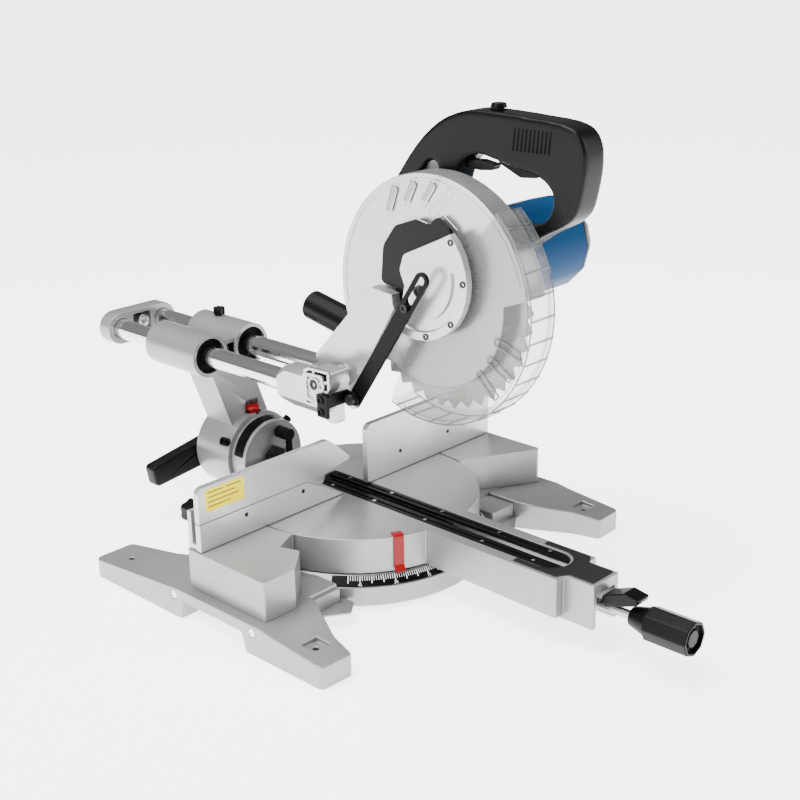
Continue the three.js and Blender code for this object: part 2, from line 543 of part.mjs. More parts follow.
// ---------------------------------------------------------------- tilt casting: hub, leaning arm, bearing tubes
into(tilt);
function tiltCasting() {
  const hub = rod([0, HUB_Y, T], [0, HUB_Y + HUB_T, T], HUB_R, 40);
  const hubTop = T + HUB_R - 12;
  const armTop = RAIL_Z - 18;
  const arm = front([
    [-46, T + 20], [44, T + 10], [28, hubTop], [FAR_RAIL - 6, armTop], [NEAR_RAIL - 2, armTop], [-34, hubTop],
  ], HOUSING_Y, HOUSING_Y + TILT_ARM_T);
  const shell = (x) => rod([x, HOUSING_Y, RAIL_Z], [x, HOUSING_BACK, RAIL_Z], HOUSING_R, 24);
  const bridge = box(NEAR_RAIL, FAR_RAIL, HOUSING_Y + 4, HOUSING_BACK - 4, RAIL_Z - 21, RAIL_Z + 13);
  const bore = (x) => rod([x, HOUSING_Y - 1, RAIL_Z], [x, HOUSING_BACK + 1, RAIL_Z], SEAL_R + FIT, 20);
  const shaftWay = rod([0, HUB_Y - 1, T], [0, HUB_Y + HUB_T + 1, T], 8 + FIT, 16);
  const recess = box(RAIL_X - 12, RAIL_X + 12, HOUSING_Y + 3, HOUSING_Y + 18, RAIL_Z - 12, RAIL_Z + 8);
  const stopHole = (s) => {
    const a = THREE.MathUtils.degToRad(27);
    const d = [s * Math.cos(a), 0, Math.sin(a)];
    const at = (r) => [d[0] * r, HUB_Y + 6, T + d[2] * r];
    return rod(at(HUB_R - 14), at(HUB_R + 4), 3 + FIT, 12);
  };
  const lockHole = rod([FAR_RAIL, HOUSING_Y + 60, RAIL_Z + 10], [FAR_RAIL, HOUSING_Y + 60, RAIL_Z + 40], 3 + FIT, 12);
  const buttonWell = join(
    rod([0, BUTTON_Y, T + HUB_R - 8], [0, BUTTON_Y, T + HUB_R + 14], 7.4, 16),
    rod([0, BUTTON_Y, T + HUB_R - 4], [0, BUTTON_Y, T + HUB_R + 14], 10.6, 16));
  return cut(join(hub, arm, shell(NEAR_RAIL), shell(FAR_RAIL), bridge),
    bore(NEAR_RAIL), bore(FAR_RAIL), shaftWay, recess, stopHole(-1), stopHole(1), lockHole, buttonWell);
}
part('tilt_casting', tiltCasting(), castAlu);

// A long bushing for each rail, its wiper lips set back a little from the tube's ends.
const bushing = (x) => tube([x, HOUSING_Y + 4, RAIL_Z], [x, HOUSING_BACK - 4, RAIL_Z], SEAL_R, RAIL_R + FIT, 20);
part('left_rail_bushing', bushing(NEAR_RAIL), rubber);
part('right_rail_bushing', cut(bushing(FAR_RAIL),
  rod([FAR_RAIL, HOUSING_Y + 60, RAIL_Z + 10], [FAR_RAIL, HOUSING_Y + 60, RAIL_Z + 40], 3 + FIT, 12)), rubber);

const STOP_ANGLE = THREE.MathUtils.degToRad(27);
function stopBolt(s) {
  const at = (r) => [s * Math.cos(STOP_ANGLE) * r, HUB_Y + 6, T + Math.sin(STOP_ANGLE) * r];
  return cut(join(rod(at(HUB_R - 12), at(HUB_R + 1), 3, 12), rod(at(HUB_R + FIT), at(HUB_R + 9), 5.6, 10)),
    rod(at(HUB_R + 5), at(HUB_R + 10), 2.4, 6));
}
part('left_stop_bolt', stopBolt(-1), black);
part('right_stop_bolt', stopBolt(1), black);
part('bevel_button', turned([
  [0, -6], [6.4, -6], [6.4, 1.2], [9.5, 1.2], [9.5, 4.4], [6.5, 6.4], [0, 6.4],
], [0, BUTTON_Y, T + HUB_R + 1], [0, 0, 1], 20), red);

// Detent pin with its small lever, in the fixed bevel disc.
part('bevel_detent_pin', join(
  rod([10, BEVEL_Y - 4, T + 31], [10, BEVEL_Y + BEVEL_T - 1, T + 31], 5, 10),
  rod([10, BEVEL_Y - 22, T + 31], [10, BEVEL_Y - FIT - 0.3, T + 31], 8, 16),
  box(7.5, 13.5, BEVEL_Y - 22, BEVEL_Y - 15, T + 7, T + 31)), black);

// Bevel lock lever: hub nut on the shaft's end and a long tapered grip.
const leverY = HUB_Y + HUB_T + FIT;
part('bevel_lock_lever', cut(join(
  rod([0, leverY, T], [0, leverY + 22, T], 17, 16),
  front([[-6, T + 16], [-30, T + 12, 6], [-122, T - 4, 6], [-117, T - 32, 6], [-26, T - 22, 6], [-4, T - 16]],
    leverY + 1, leverY + 21)),
  rod([0, leverY - 1, T], [0, leverY + 40, T], 8 + FIT, 16)), black);

part('rail_lock_knob', join(
  rod([FAR_RAIL, HOUSING_Y + 60, RAIL_Z + RAIL_R + 1], [FAR_RAIL, HOUSING_Y + 60, RAIL_Z + HOUSING_R + 4], 3, 12),
  lobedKnob([FAR_RAIL, HOUSING_Y + 60, RAIL_Z + HOUSING_R + 1], [0, 0, 1], 8, 6, 9)), black);

// ---------------------------------------------------------------- carriage: rails, yoke, hinge casting
into(slide);
const rail = (x) => tube([x, -4, RAIL_Z], [x, RAIL_BACK, RAIL_Z], RAIL_R, RAIL_R - RAIL_WALL, 20);
part('left_rail', rail(NEAR_RAIL), steel);
part('right_rail', rail(FAR_RAIL), steel);

function yoke() {
  const y1 = RAIL_BACK + 6;
  const stadium = (r) => [
    ...arc(NEAR_RAIL, RAIL_Z, r, 90, 270, 12), ...arc(FAR_RAIL, RAIL_Z, r, -90, 90, 12),
  ];
  const body = front(stadium(YOKE_R), YOKE_Y, y1);
  const socket = (x) => rod([x, YOKE_Y - 1, RAIL_Z], [x, RAIL_BACK + FIT, RAIL_Z], RAIL_R + FIT, 20);
  const tray = box(NEAR_RAIL + 19, FAR_RAIL - 19, YOKE_Y - 1, y1 - 5, RAIL_Z - YOKE_R + 6, RAIL_Z + YOKE_R - 6);
  const screw = (x) => rod([x, YOKE_Y + 6, RAIL_Z - YOKE_R - 1], [x, YOKE_Y + 6, RAIL_Z - 10], 3, 12);
  return cut(body, socket(NEAR_RAIL), socket(FAR_RAIL), tray, screw(NEAR_RAIL), screw(FAR_RAIL));
}
part('rail_yoke', yoke(), castAlu);
part('cable_hook', cut(
  rod([RAIL_X, YOKE_Y - 3, RAIL_Z + 4], [RAIL_X, RAIL_BACK + 1 - FIT, RAIL_Z + 4], 8.5, 14),
  rod([RAIL_X, YOKE_Y - 4, RAIL_Z + 4], [RAIL_X, RAIL_BACK - 6, RAIL_Z + 4], 4.5, 10)), steel);

const EAR_X0 = -46;           // outer carriage ear, left and right faces
const EAR_X1 = -39.5;
const FAR_EAR_X0 = -12;       // inner carriage ear
const FAR_EAR_X1 = -4;
const CAP_X = NEAR_RAIL - 17; // ribbed side plate's seat
function carriage() {
  const boss = turned([
    [0, 12], [BOSS_R, 12], [BOSS_R, -BOSS_BACK + 14], [BOSS_R - 6, -BOSS_BACK], [0, -BOSS_BACK],
  ], [NEAR_RAIL, 0, RAIL_Z], [0, -1, 0], 24);
  const farBoss = turned([
    [0, 2], [BOSS_R - 4, 2], [BOSS_R - 4, -BOSS_BACK + 12], [BOSS_R - 8, -BOSS_BACK], [0, -BOSS_BACK],
  ], [FAR_RAIL, 0, RAIL_Z], [0, -1, 0], 24);
  const bridge = box(NEAR_RAIL, FAR_RAIL, 5, BOSS_BACK - 8, RAIL_Z - 20, RAIL_Z + 14);
  const block = side([
    [8, RAIL_Z - 20], [8, HINGE_Z + 4, 4], [0, HINGE_Z + 13, 4], [-34, HINGE_Z + 14, 4], [-36, HINGE_Z],
    [-24, RAIL_Z - 12], [-4, RAIL_Z - 20],
  ], CAP_X, EAR_X0 + 1);
  const ear = (x0, x1) => side([
    [8, RAIL_Z - 18], [8, HINGE_Z + 3, 4], [HINGE_Y, HINGE_Z + 14, 6], [HINGE_Y - 13, HINGE_Z + 8, 6],
    [HINGE_Y - 12, HINGE_Z - 14], [-10, RAIL_Z - 34], [-2, RAIL_Z - 36],
  ], x0, x1);
  const tab = side([[6, RAIL_Z - 28], [4, RAIL_Z - 10], [-26, RAIL_Z - 10], [-26, RAIL_Z - 36, 3], [-14, RAIL_Z - 38, 3]],
    NEAR_RAIL + 4, EAR_X0 + 2);
  const body = join(boss, farBoss, bridge, block, ear(EAR_X0, EAR_X1), ear(FAR_EAR_X0, FAR_EAR_X1), tab);
  const bore = (x) => rod([x, -4 - FIT, RAIL_Z], [x, BOSS_BACK + 2, RAIL_Z], RAIL_R + FIT, 20);
  const pinWay = rod([CAP_X - 4, HINGE_Y, HINGE_Z], [20, HINGE_Y, HINGE_Z], HINGE_PIN_R + FIT, 16);
  const flat = box(NEAR_RAIL - 40, CAP_X, -60, 60, 0, 400);
  const chamfer = front([
    [NEAR_RAIL - 40, RAIL_Z - 40], [NEAR_RAIL + 4, RAIL_Z - 40], [NEAR_RAIL + 4, RAIL_Z - 33],
    [NEAR_RAIL - 33, RAIL_Z + 4], [NEAR_RAIL - 40, RAIL_Z + 4],
  ], -60, 60);
  const knuckleRoom = rod([EAR_X1, HINGE_Y, HINGE_Z], [FAR_EAR_X0, HINGE_Y, HINGE_Z], 16.5, 20);
  return cut(body, bore(NEAR_RAIL), bore(FAR_RAIL), pinWay, flat, chamfer, knuckleRoom);
}
part('carriage_casting', carriage(), castAlu);

// Ribbed side plate: a shallow tray with spokes around the hinge pin's end.
const plateOutline = [
  [-2, HINGE_Z - 20, 3], [-2, HINGE_Z + 12, 5], [-30, HINGE_Z + 13, 4], [-33, HINGE_Z, 3], [-22, HINGE_Z - 24, 3],
];
function sidePlate() {
  const x1 = CAP_X - FIT;
  const x0 = x1 - 4;
  const body = side(plateOutline, x0, x1);
  const shrink = plateOutline.map(([y, z, r]) => [HINGE_Y + (y - HINGE_Y) * 0.8, HINGE_Z - 4 + (z - HINGE_Z + 4) * 0.8, r]);
  const well = side(shrink, x0 - 1, x0 + 2.5);
  const spokes = [20, 80, 140, 200, 260, 320].map((deg) => {
    const a = THREE.MathUtils.degToRad(deg);
    return rod([x0 + 1, HINGE_Y, HINGE_Z], [x0 + 1, HINGE_Y + 34 * Math.cos(a), HINGE_Z + 34 * Math.sin(a)], 1.0, 6);
  });
  const hub = rod([x0, HINGE_Y, HINGE_Z], [x1, HINGE_Y, HINGE_Z], 8.5, 16);
  const ribs = both(join(...spokes), side(plateOutline, x0, x1));
  return cut(join(cut(body, well), ribs, hub), rod([x0 - 1, HINGE_Y, HINGE_Z], [x1 + 1, HINGE_Y, HINGE_Z], 6 + FIT, 16));
}
part('carriage_side_plate', sidePlate(), machined);
part('hinge_pin', cut(
  join(rod([CAP_X - 5, HINGE_Y, HINGE_Z], [FAR_EAR_X1 + 7, HINGE_Y, HINGE_Z], HINGE_PIN_R, 16),
    rod([FAR_EAR_X1 + FIT, HINGE_Y, HINGE_Z], [FAR_EAR_X1 + 7, HINGE_Y, HINGE_Z], 10, 6)),
  rod([CAP_X - 6, HINGE_Y, HINGE_Z], [CAP_X - 2, HINGE_Y, HINGE_Z], 3, 6)), darkSteel);

// Link bracket: bolted under the side plate, stepped in to the link's plane.
const bracketZ = HINGE_Z - 14;
part('link_bracket', cut(join(
  side([[HINGE_Y - 9, bracketZ - 20], [HINGE_Y - 9, bracketZ + 7, 2], [HINGE_Y - 26, bracketZ + 7, 2],
    [HINGE_Y - 26, bracketZ - 20]], CAP_X - 4 - 2 * FIT - 4, CAP_X - 4 - 2 * FIT),
  side([[HINGE_Y - 22, bracketZ - 8], [HINGE_Y - 22, bracketZ + 7], [HINGE_Y - 26, bracketZ + 7],
    [HINGE_Y - 26, bracketZ - 8]], CAP_X - 8, LINK_X - 3),
  side([[HINGE_Y - 22, bracketZ - 9], [HINGE_Y - 22, bracketZ + 7], [LINK_FOOT[0] - 8, LINK_FOOT[1] + 8, 7],
    [LINK_FOOT[0] - 8, LINK_FOOT[1] - 8, 7]], LINK_X - 6, LINK_X - 2 - RUN)),
rod([LINK_X - 9, ...LINK_FOOT], [LINK_X + 9, ...LINK_FOOT], 4 + FIT, 10)), black);

// ---------------------------------------------------------------- guard link
into(link);
const LINK_TIP = [HINGE_Y - 136, HINGE_Z + 136.5];
function linkBar() {
  const [fy, fz] = LINK_FOOT;
  const [ty, tz] = LINK_TIP;
  const heading = Math.atan2(tz - fz, ty - fy);
  const deg = THREE.MathUtils.radToDeg(heading);
  const half = 9;
  const bar = side([...arc(fy, fz, half, deg + 90, deg + 270, 10), ...arc(ty, tz, half, deg - 90, deg + 90, 10)],
    LINK_X - 2, LINK_X + 2);
  const back = (d) => [ty - d * Math.cos(heading), tz - d * Math.sin(heading)];
  const slot = side([...arc(...back(30), 4.6, deg + 90, deg + 270, 8), ...arc(ty, tz, 4.6, deg - 90, deg + 90, 8)],
    LINK_X - 4, LINK_X + 4);
  const footHole = rod([LINK_X - 4, fy, fz], [LINK_X + 4, fy, fz], 4 + FIT, 10);
  return cut(bar, slot, footHole);
}
part('guard_link', linkBar(), black);
part('link_foot_bolt', join(
  rod([LINK_X - 11, ...LINK_FOOT], [LINK_X + 2, ...LINK_FOOT], 4, 10),
  cut(rod([LINK_X - 12, ...LINK_FOOT], [LINK_X - 6 - FIT, ...LINK_FOOT], 6.5, 10),
    rod([LINK_X - 13, ...LINK_FOOT], [LINK_X - 10, ...LINK_FOOT], 3, 6))), darkSteel);

// ---------------------------------------------------------------- upper guard with the head arm
into(head);
const A = [ARBOR_Y, ARBOR_Z];
const ring = (r, from, to, rIn, x0, x1) => side(
  [...arc(...A, r, from, to, 24), ...arc(...A, rIn, to, from, 16)], x0, x1);
function upperGuard() {
  const inner = GUARD_R - GUARD_WALL;
  const cover = side([...arc(...A, GUARD_R, -22, 172, 60), ...arc(...A, 30, 235, 300, 6)], CASTING_X0, CASTING_X1);
  const room = side([...arc(...A, inner, -80, 280, 48)], CASTING_X0 + GUARD_WALL, CASTING_X1 - GUARD_WALL);
  const knuckle = rod([EAR_X1 + RUN, HINGE_Y, HINGE_Z], [FAR_EAR_X0 - RUN, HINGE_Y, HINGE_Z], 15, 20);
  const armOutline = [
    [HINGE_Y + 46, HINGE_Z + 12, 5], [A[0] + 99, A[1] - 28, 8], [A[0] + 67, A[1] + 4], [A[0] + 30, A[1]],
    [A[0] + 34, A[1] - 16, 5], [HINGE_Y - 30, HINGE_Z + 4, 6], [HINGE_Y - 12, HINGE_Z - 9], [HINGE_Y + 12, HINGE_Z + 1],
  ];
  const shieldSweep = join(rod([SHIELD_X0 - RUN, ...A], [CASTING_X0, ...A], 63, 24),
    rod([CASTING_X0 - 7 - FIT, ...A], [CASTING_X0, ...A], 44, 24),
    side([[...A], ...arc(...A, 170, -6, 130, 12)], SHIELD_X0 - RUN, CASTING_X0));
  const headArm = cut(side(armOutline, EAR_X1 + RUN, CASTING_X0 + 2), shieldSweep);
  const arbor = rod([CASTING_X0 - 30, ...A], [CASTING_X1 + 5, ...A], 36, 28);
  const pinWay = rod([-60, HINGE_Y, HINGE_Z], [20, HINGE_Y, HINGE_Z], HINGE_PIN_R + FIT, 16);
  const grooves = [
    [[46, 122], [58, 85]], [[16, 132], [33, 99]], [[-16, 137], [8, 103]],
  ].map(([a, b]) => {
    const h = Math.atan2(b[1] - a[1], b[0] - a[0]);
    const w = 3.2;
    const off = (p, s) => [A[0] + p[0] * 0.95 - s * w * Math.sin(h), A[1] + p[1] * 0.95 + s * w * Math.cos(h)];
    return side([off(a, 1), off(b, 1), off(b, -1), off(a, -1)], CASTING_X0 - 1, CASTING_X0 + 1.2);
  });
  const farEarRoom = box(FAR_EAR_X0 - RUN, FAR_EAR_X1 + 12, HINGE_Y - 18, HINGE_Y + 60, HINGE_Z - 30, HINGE_Z + 18);
  const lowerDisc = side([...arc(...A, 100, 0, 360, 60).slice(0, -1)], CASTING_X0, CASTING_X0 + GUARD_WALL);
  const shell = cut(join(cut(cover, room), lowerDisc), arbor, farEarRoom);
  return cut(join(shell, cut(headArm, arbor), knuckle), pinWay, ...grooves,
    rod([CASTING_X0 + 2 + FIT, ...A], [CASTING_X1 + 5, ...A], 40, 28));
}
part('upper_guard', upperGuard(), castAlu);

// Black arbor cover behind the grey plate.
const blackCover = side([
  [A[0] + 62, A[1] + 8, 6], [A[0] + 58, A[1] + 50, 14], [A[0] + 40, A[1] + 74, 12], [A[0] + 12, A[1] + 84, 10],
  [A[0] - 8, A[1] + 80, 6], [A[0] - 20, A[1] + 92, 6], [A[0] - 38, A[1] + 80, 6], [A[0] - 44, A[1] + 20, 10],
  [A[0] - 20, A[1] - 30, 20], [A[0] + 27, A[1] - 34, 6], [A[0] + 27, A[1] + 1.5], [A[0] + 30, A[1] + 5],
], CASTING_X0 - 10, CASTING_X0 - 6);
part('arbor_cover', cut(join(blackCover, rod([CASTING_X0 - 7, ...A], [CASTING_X0 - FIT, ...A], 43, 24)),
  rod([CASTING_X0 - 12, ...A], [CASTING_X0, ...A], 26, 20)), black);

// Grey cover plate: a disc with its upper left cut away and a screwed rim.
const PLATE_R = 70;
const plateAt = [A[0], A[1] + 27];
function coverPlate() {
  const rim = (r, from = 0, to = 360) => arc(...plateAt, r, from, to, 28).slice(0, -1);
  const x1 = CASTING_X0 - 12;
  const body = side(rim(PLATE_R), x1 - 6, x1);
  const ledge = cut(side(rim(PLATE_R), x1 - 9, x1 - 5), side(rim(PLATE_R - 10), x1 - 10, x1 - 4));
  const corner = side([
    [plateAt[0] + 90, plateAt[1] + 100], [plateAt[0] - 56, plateAt[1] + 100], [plateAt[0] - 56, plateAt[1] + 56],
    [plateAt[0] + 21, plateAt[1] + 20, 8], [plateAt[0] + 27, plateAt[1] + 2, 8], [plateAt[0] + 20, plateAt[1] - 14],
    [plateAt[0] + 36, plateAt[1] - 90], [plateAt[0] + 90, plateAt[1] - 90],
  ], x1 - 12, x1 + 2);
  return cut(join(body, ledge), corner,
    rod([x1 - 12, A[0] - 2, A[1] + 11], [x1 + 2, A[0] - 2, A[1] + 11], 6, 14));
}
part('guard_cover_plate', coverPlate(), machined);

// Dust port: a black spout rising to the rear.
const spoutFrom = [2.5, A[0] + 122, A[1] - 66];
const spoutTo = [2.5, A[0] + 204, A[1] - 50];
part('dust_port', cut(
  rod(spoutFrom, spoutTo, 17.5, 20),
  rod([2.5, spoutFrom[1] + 20, spoutFrom[2] + 3.9], [2.5, spoutTo[1] + 10, spoutTo[2] + 1.95], 15, 20),
  rod([-30, ...A], [30, ...A], GUARD_R + FIT, 72)), black);

// ---------------------------------------------------------------- gear housing, motor, handle
const M = [MOTOR_Y, MOTOR_Z];
const HOUSING_X0 = SHIELD_X1 + RUN;
function gearHousing() {
  const hull = (grow) => {
    const x0 = HOUSING_X0 + (grow ? 0 : 4);
    const x1 = MOTOR_X0 - FIT - (grow ? 0 : 4);
    const r = grow ? 0 : -5;
    return join(
      rod([x0, ...A], [x1, ...A], 46 + r, 24), rod([x0, ...M], [x1, ...M], MOTOR_R - 2 + r, 24),
      side([[A[0] - 20, A[1] - 30], [A[0] + 58 + r, A[1] - 6 - r, 4], [A[0] + 62 + r, A[1] + 46 + r, 10],
        [A[0] - 10, A[1] + 72 + r, 10], [A[0] - 60, A[1] + 40]], x0, x1));
  };
  const neck = rod([CASTING_X1 + FIT, ...A], [HOUSING_X0 + 2, ...A], 38, 24);
  const bore = rod([CASTING_X1, ...A], [HOUSING_X0 + 6, ...A], 20, 20);
  const motorWay = rod([MOTOR_X0 - 6, ...M], [MOTOR_X0 + 1, ...M], 24, 20);
  return cut(join(hull(true), neck), hull(false), bore, motorWay);
}
part('gear_housing', gearHousing(), black);
part('spindle_bearing', tube([CASTING_X1 + 2, ...A], [CASTING_X1 + 10, ...A], 20 - FIT, 8 + FIT, 20), steel);

const facets = (r, x0, x1) => solid(new THREE.CylinderGeometry(r, r, x1 - x0, 12).rotateZ(Math.PI / 2)
  .translate((x0 + x1) / 2, ...M));
part('motor_housing', cut(facets(MOTOR_R, MOTOR_X0, MOTOR_X1),
  rod([MOTOR_X0 - 1, ...M], [MOTOR_X1 + 1, ...M], MOTOR_R - 6, 24)), blue);
function endCap() {
  const shell = turned([[0, 0], [MOTOR_R, 0], [MOTOR_R - 3, 8], [MOTOR_R - 18, MOTOR_TIP - MOTOR_X1],
    [0, MOTOR_TIP - MOTOR_X1]], [MOTOR_X1 + FIT, ...M], [1, 0, 0], 12);
  const room = rod([MOTOR_X1 - 1, ...M], [MOTOR_X1 + 10, ...M], MOTOR_R - 8, 20);
  const vents = Array.from({ length: 5 }, (_, i) => box(MOTOR_X1 + 8, MOTOR_TIP + 4,
    M[0] - 18, M[0] + 18, M[1] - 23 + i * 10, M[1] - 19 + i * 10));
  return cut(shell, room, ...vents);
}
part('motor_end_cap', endCap(), greyPlastic);
part('motor_stator', tube([MOTOR_X0 + 26, ...M], [MOTOR_X0 + 86, ...M], MOTOR_R - 6 - FIT, 29.5, 24), darkSteel);

// A gear blank with plain flat-flanked teeth.
function gear(centre, r, teeth, x0, x1, phase = 0) {
  const points = Array.from({ length: teeth * 4 }, (_, i) => {
    const angle = ((Math.floor(i / 4) + [0.06, 0.24, 0.42, 0.60][i % 4]) / teeth) * 2 * Math.PI + phase;
    const reach = r + [-1.6, 1.3, 1.3, -1.6][i % 4];
    return [centre[0] + reach * Math.cos(angle), centre[1] + reach * Math.sin(angle)];
  });
  return side(points, x0, x1);
}
const SHAFT_GAP = Math.hypot(MOTOR_BACK, MOTOR_UP);
const GEAR_TEETH = 40;
const PINION_TEETH = 9;
const MODULE = (2 * SHAFT_GAP) / (GEAR_TEETH + PINION_TEETH);
const GEAR_R = (MODULE * GEAR_TEETH) / 2 - 0.5;
const PINION_R = (MODULE * PINION_TEETH) / 2 - 0.5;

part('motor_rotor', join(
  rod([MOTOR_X0 + 30, ...M], [MOTOR_X0 + 82, ...M], 28.5, 20),
  rod([MOTOR_X0 - 18, ...M], [MOTOR_X1 + 4, ...M], 4, 14),
  rod([MOTOR_X1 - 26, ...M], [MOTOR_X1 - 12, ...M], 14, 16),
  gear(M, PINION_R, PINION_TEETH, MOTOR_X0 - 18, MOTOR_X0 - 6)), copper);


// D-shaped main handle, in two shells that meet in its mid plane.
const H = (y, z) => [A[0] + y, A[1] + z];
const handleOuter = [
  [...H(90, 101), 4], [...H(71, 122), 8], [...H(23, 173), 24], [...H(-25, 195), 30], [...H(-144, 190.5), 8],
  [...H(-162, 183), 6], [...H(-169, 164), 6], [...H(-160, 116), 8], [...H(-154, 101), 6], [...H(-116, 78), 6],
  [...H(-100, 60), 4], [...H(-58, 46), 4], [...H(10, 70), 4], [...H(60, 84), 4],
];
const handleHole = [
  [...H(0, 135), 8], [...H(-30, 156), 10], [...H(-118, 136), 10], [...H(-134, 112), 8], [...H(-124, 92), 6],
  [...H(-104, 80), 6], [...H(-84, 78), 4], [...H(-62, 90), 4], [...H(-32, 97), 4], [...H(0, 94), 4],
  [...H(12, 108), 6],
];
const handleWindow = [[...H(33, 133), 4], [...H(46, 118), 3], [...H(30, 118), 3], [...H(18, 130), 3]];
const HANDLE_X0 = HANDLE_X - HANDLE_W / 2;
const HANDLE_X1 = HANDLE_X + HANDLE_W / 2;
const triggerWell = side([H(-46, 140), H(-112, 128), H(-117, 149), H(-50, 161)], HANDLE_X - 9, HANDLE_X + 9);
const leverWell = side([H(-2, 122), H(-40, 118), H(-80, 126), H(-84, 154), H(-2, 150)], HANDLE_X - 7, HANDLE_X + 7);
const lockWell = rod([HANDLE_X, ...H(-49, 160)], [HANDLE_X, ...H(-49, 210)], 8, 16);
const motorRoom = rod([HANDLE_X0 - 1, ...M], [HANDLE_X1 + 1, ...M], MOTOR_R + FIT, 28);
const gearRoom = side([[A[0] - 20, A[1] - 40], [A[0] + 62 + 2, A[1] - 40], [A[0] + 62 + 1, A[1] + 46 + 1],
  [A[0] - 10, A[1] + 72 + 1], [A[0] - 60, A[1] + 45]], HANDLE_X0 - 1, HANDLE_X1 + 1);
function handleShell(x0, x1) {
  return cut(side(handleOuter, x0, x1), side(handleHole, x0 - 1, x1 + 1), side(handleWindow, x0 - 1, x1 + 1),
    triggerWell, leverWell, lockWell, motorRoom, gearRoom);
}
part('handle_left_shell', handleShell(HANDLE_X0, HANDLE_X - FIT / 2), black);
part('handle_right_shell', handleShell(HANDLE_X + FIT / 2, HANDLE_X1), black);

// Switch trigger: hinged at its rear end inside the grip, its face along the grip's underside.
const TRIGGER_AT = H(-108, 141);
part('switch_trigger', join(
  side([[...H(-112, 143.5), 2], [...H(-106, 133), 3], [...H(-84, 131), 6], [...H(-56, 143), 4], [...H(-54, 148)],
    [...H(-56, 152), 2]], HANDLE_X - 8, HANDLE_X + 8)), black);
part('lock_off_button', join(
  rod([HANDLE_X, ...H(-49, 176)], [HANDLE_X, ...H(-49, 200)], 6, 16),
  rod([HANDLE_X, ...H(-49, 198.5)], [HANDLE_X, ...H(-49, 203)], 9, 24, 7.5)), black);
const GUARD_LEVER_AT = H(-8, 138);
part('guard_release_lever', join(
  side([[...H(-4, 141), 3], [...H(-4, 134), 3], [...H(-28, 132), 3], [...H(-46, 134), 3], [...H(-50, 140), 2],
    [...H(-30, 143), 3]], HANDLE_X - 5.5, HANDLE_X + 5.5)), darkSteel);

// ---------------------------------------------------------------- blade and spindle
into(blade);
function sawBlade() {
  const gullet = BLADE_R - 9;
  const points = [];
  for (let i = 0; i < TEETH; i += 1) {
    const at = (share, r) => {
      const a = ((i + share) / TEETH) * 2 * Math.PI;
      return [A[0] + r * Math.cos(a), A[1] + r * Math.sin(a)];
    };
    points.push(at(0, BLADE_R - 0.6), at(0.4, gullet), at(0.97, BLADE_R));
  }
  const half = BLADE_PLATE / 2;
  return cut(side(points, -half, half), rod([-2, ...A], [2, ...A], BORE_R + FIT, 24));
}
part('saw_blade', sawBlade(), steel);
const FLANGE_R = 24;
const blade0 = BLADE_PLATE / 2 + FIT;
part('spindle', join(
  rod([-blade0 - 6, ...A], [MOTOR_X0 - 14, ...A], 8, 20),
  rod([-blade0 + FIT, ...A], [blade0 + 3.5, ...A], BORE_R, 24)), steel);
part('inner_flange', tube([blade0 + 3.5 + FIT, ...A], [blade0 + 8.8, ...A], FLANGE_R, 8 + FIT, 24), darkSteel);
part('outer_flange', tube([-blade0 - 5, ...A], [-blade0, ...A], FLANGE_R, 8 + FIT, 24), darkSteel);
part('blade_bolt', cut(rod([-blade0 - 13, ...A], [-blade0 - 6 - FIT, ...A], 11, 16),
  rod([-blade0 - 14, ...A], [-blade0 - 9, ...A], 4, 6)), darkSteel);
part('spindle_gear', cut(gear(A, GEAR_R, GEAR_TEETH, MOTOR_X0 - 18, MOTOR_X0 - 8, 0.05),
  rod([MOTOR_X0 - 20, ...A], [MOTOR_X0, ...A], 8 + FIT, 20)), darkSteel);

// ---------------------------------------------------------------- lower guard
into(shield);
function lowerGuard() {
  const side0 = side([...arc(...A, SHIELD_R, 132, 294, 28), ...arc(...A, 58, 294, 132, 14)],
    SHIELD_X0, SHIELD_X0 + 2);
  const rim = side([...arc(...A, SHIELD_R, 132, 294, 28), ...arc(...A, SHIELD_R - SHIELD_WALL, 294, 132, 28)],
    SHIELD_X0, SHIELD_X1);
  const edge = side([...arc(...A, SHIELD_R, 132, 294, 28), ...arc(...A, SHIELD_R - 8, 294, 132, 28)],
    SHIELD_X1 - 2, SHIELD_X1);
  const hub = tube([SHIELD_X0, ...A], [SHIELD_X0 + 2, ...A], 61, 44, 28);
  return join(side0, rim, edge, hub);
}
part('lower_guard', lowerGuard(), clear);

export default base;
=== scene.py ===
# %% [markdown]
# # A sliding compound mitre saw
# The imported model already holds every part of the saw, each in its place. This lesson gives the parts
# their finish: edges are rounded, small details are modelled with operators, and each material is built
# from nodes. We start by loading the frame and looking at what it holds.

# %% Load the frame
import json
from math import atan2, cos, degrees, pi, radians, sin

import bmesh
import bpy
from mathutils import Matrix, Vector


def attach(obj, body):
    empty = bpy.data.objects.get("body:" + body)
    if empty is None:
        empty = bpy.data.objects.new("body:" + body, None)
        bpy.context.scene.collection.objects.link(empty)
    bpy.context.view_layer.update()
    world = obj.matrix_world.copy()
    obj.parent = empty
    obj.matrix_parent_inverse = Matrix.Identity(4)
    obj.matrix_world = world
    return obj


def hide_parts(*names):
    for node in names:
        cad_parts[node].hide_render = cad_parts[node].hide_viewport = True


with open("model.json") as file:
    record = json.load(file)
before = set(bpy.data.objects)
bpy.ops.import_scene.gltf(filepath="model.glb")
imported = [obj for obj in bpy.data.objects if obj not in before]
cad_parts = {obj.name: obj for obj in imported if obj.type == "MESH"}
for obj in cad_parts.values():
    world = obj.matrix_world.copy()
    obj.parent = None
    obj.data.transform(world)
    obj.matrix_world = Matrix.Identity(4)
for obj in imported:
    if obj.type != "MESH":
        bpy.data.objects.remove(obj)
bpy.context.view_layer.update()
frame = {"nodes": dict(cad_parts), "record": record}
nodes = frame["nodes"]
body_of = {n: b for b, members in frame["record"]["behaviour"]["bodies"].items() for n in members}
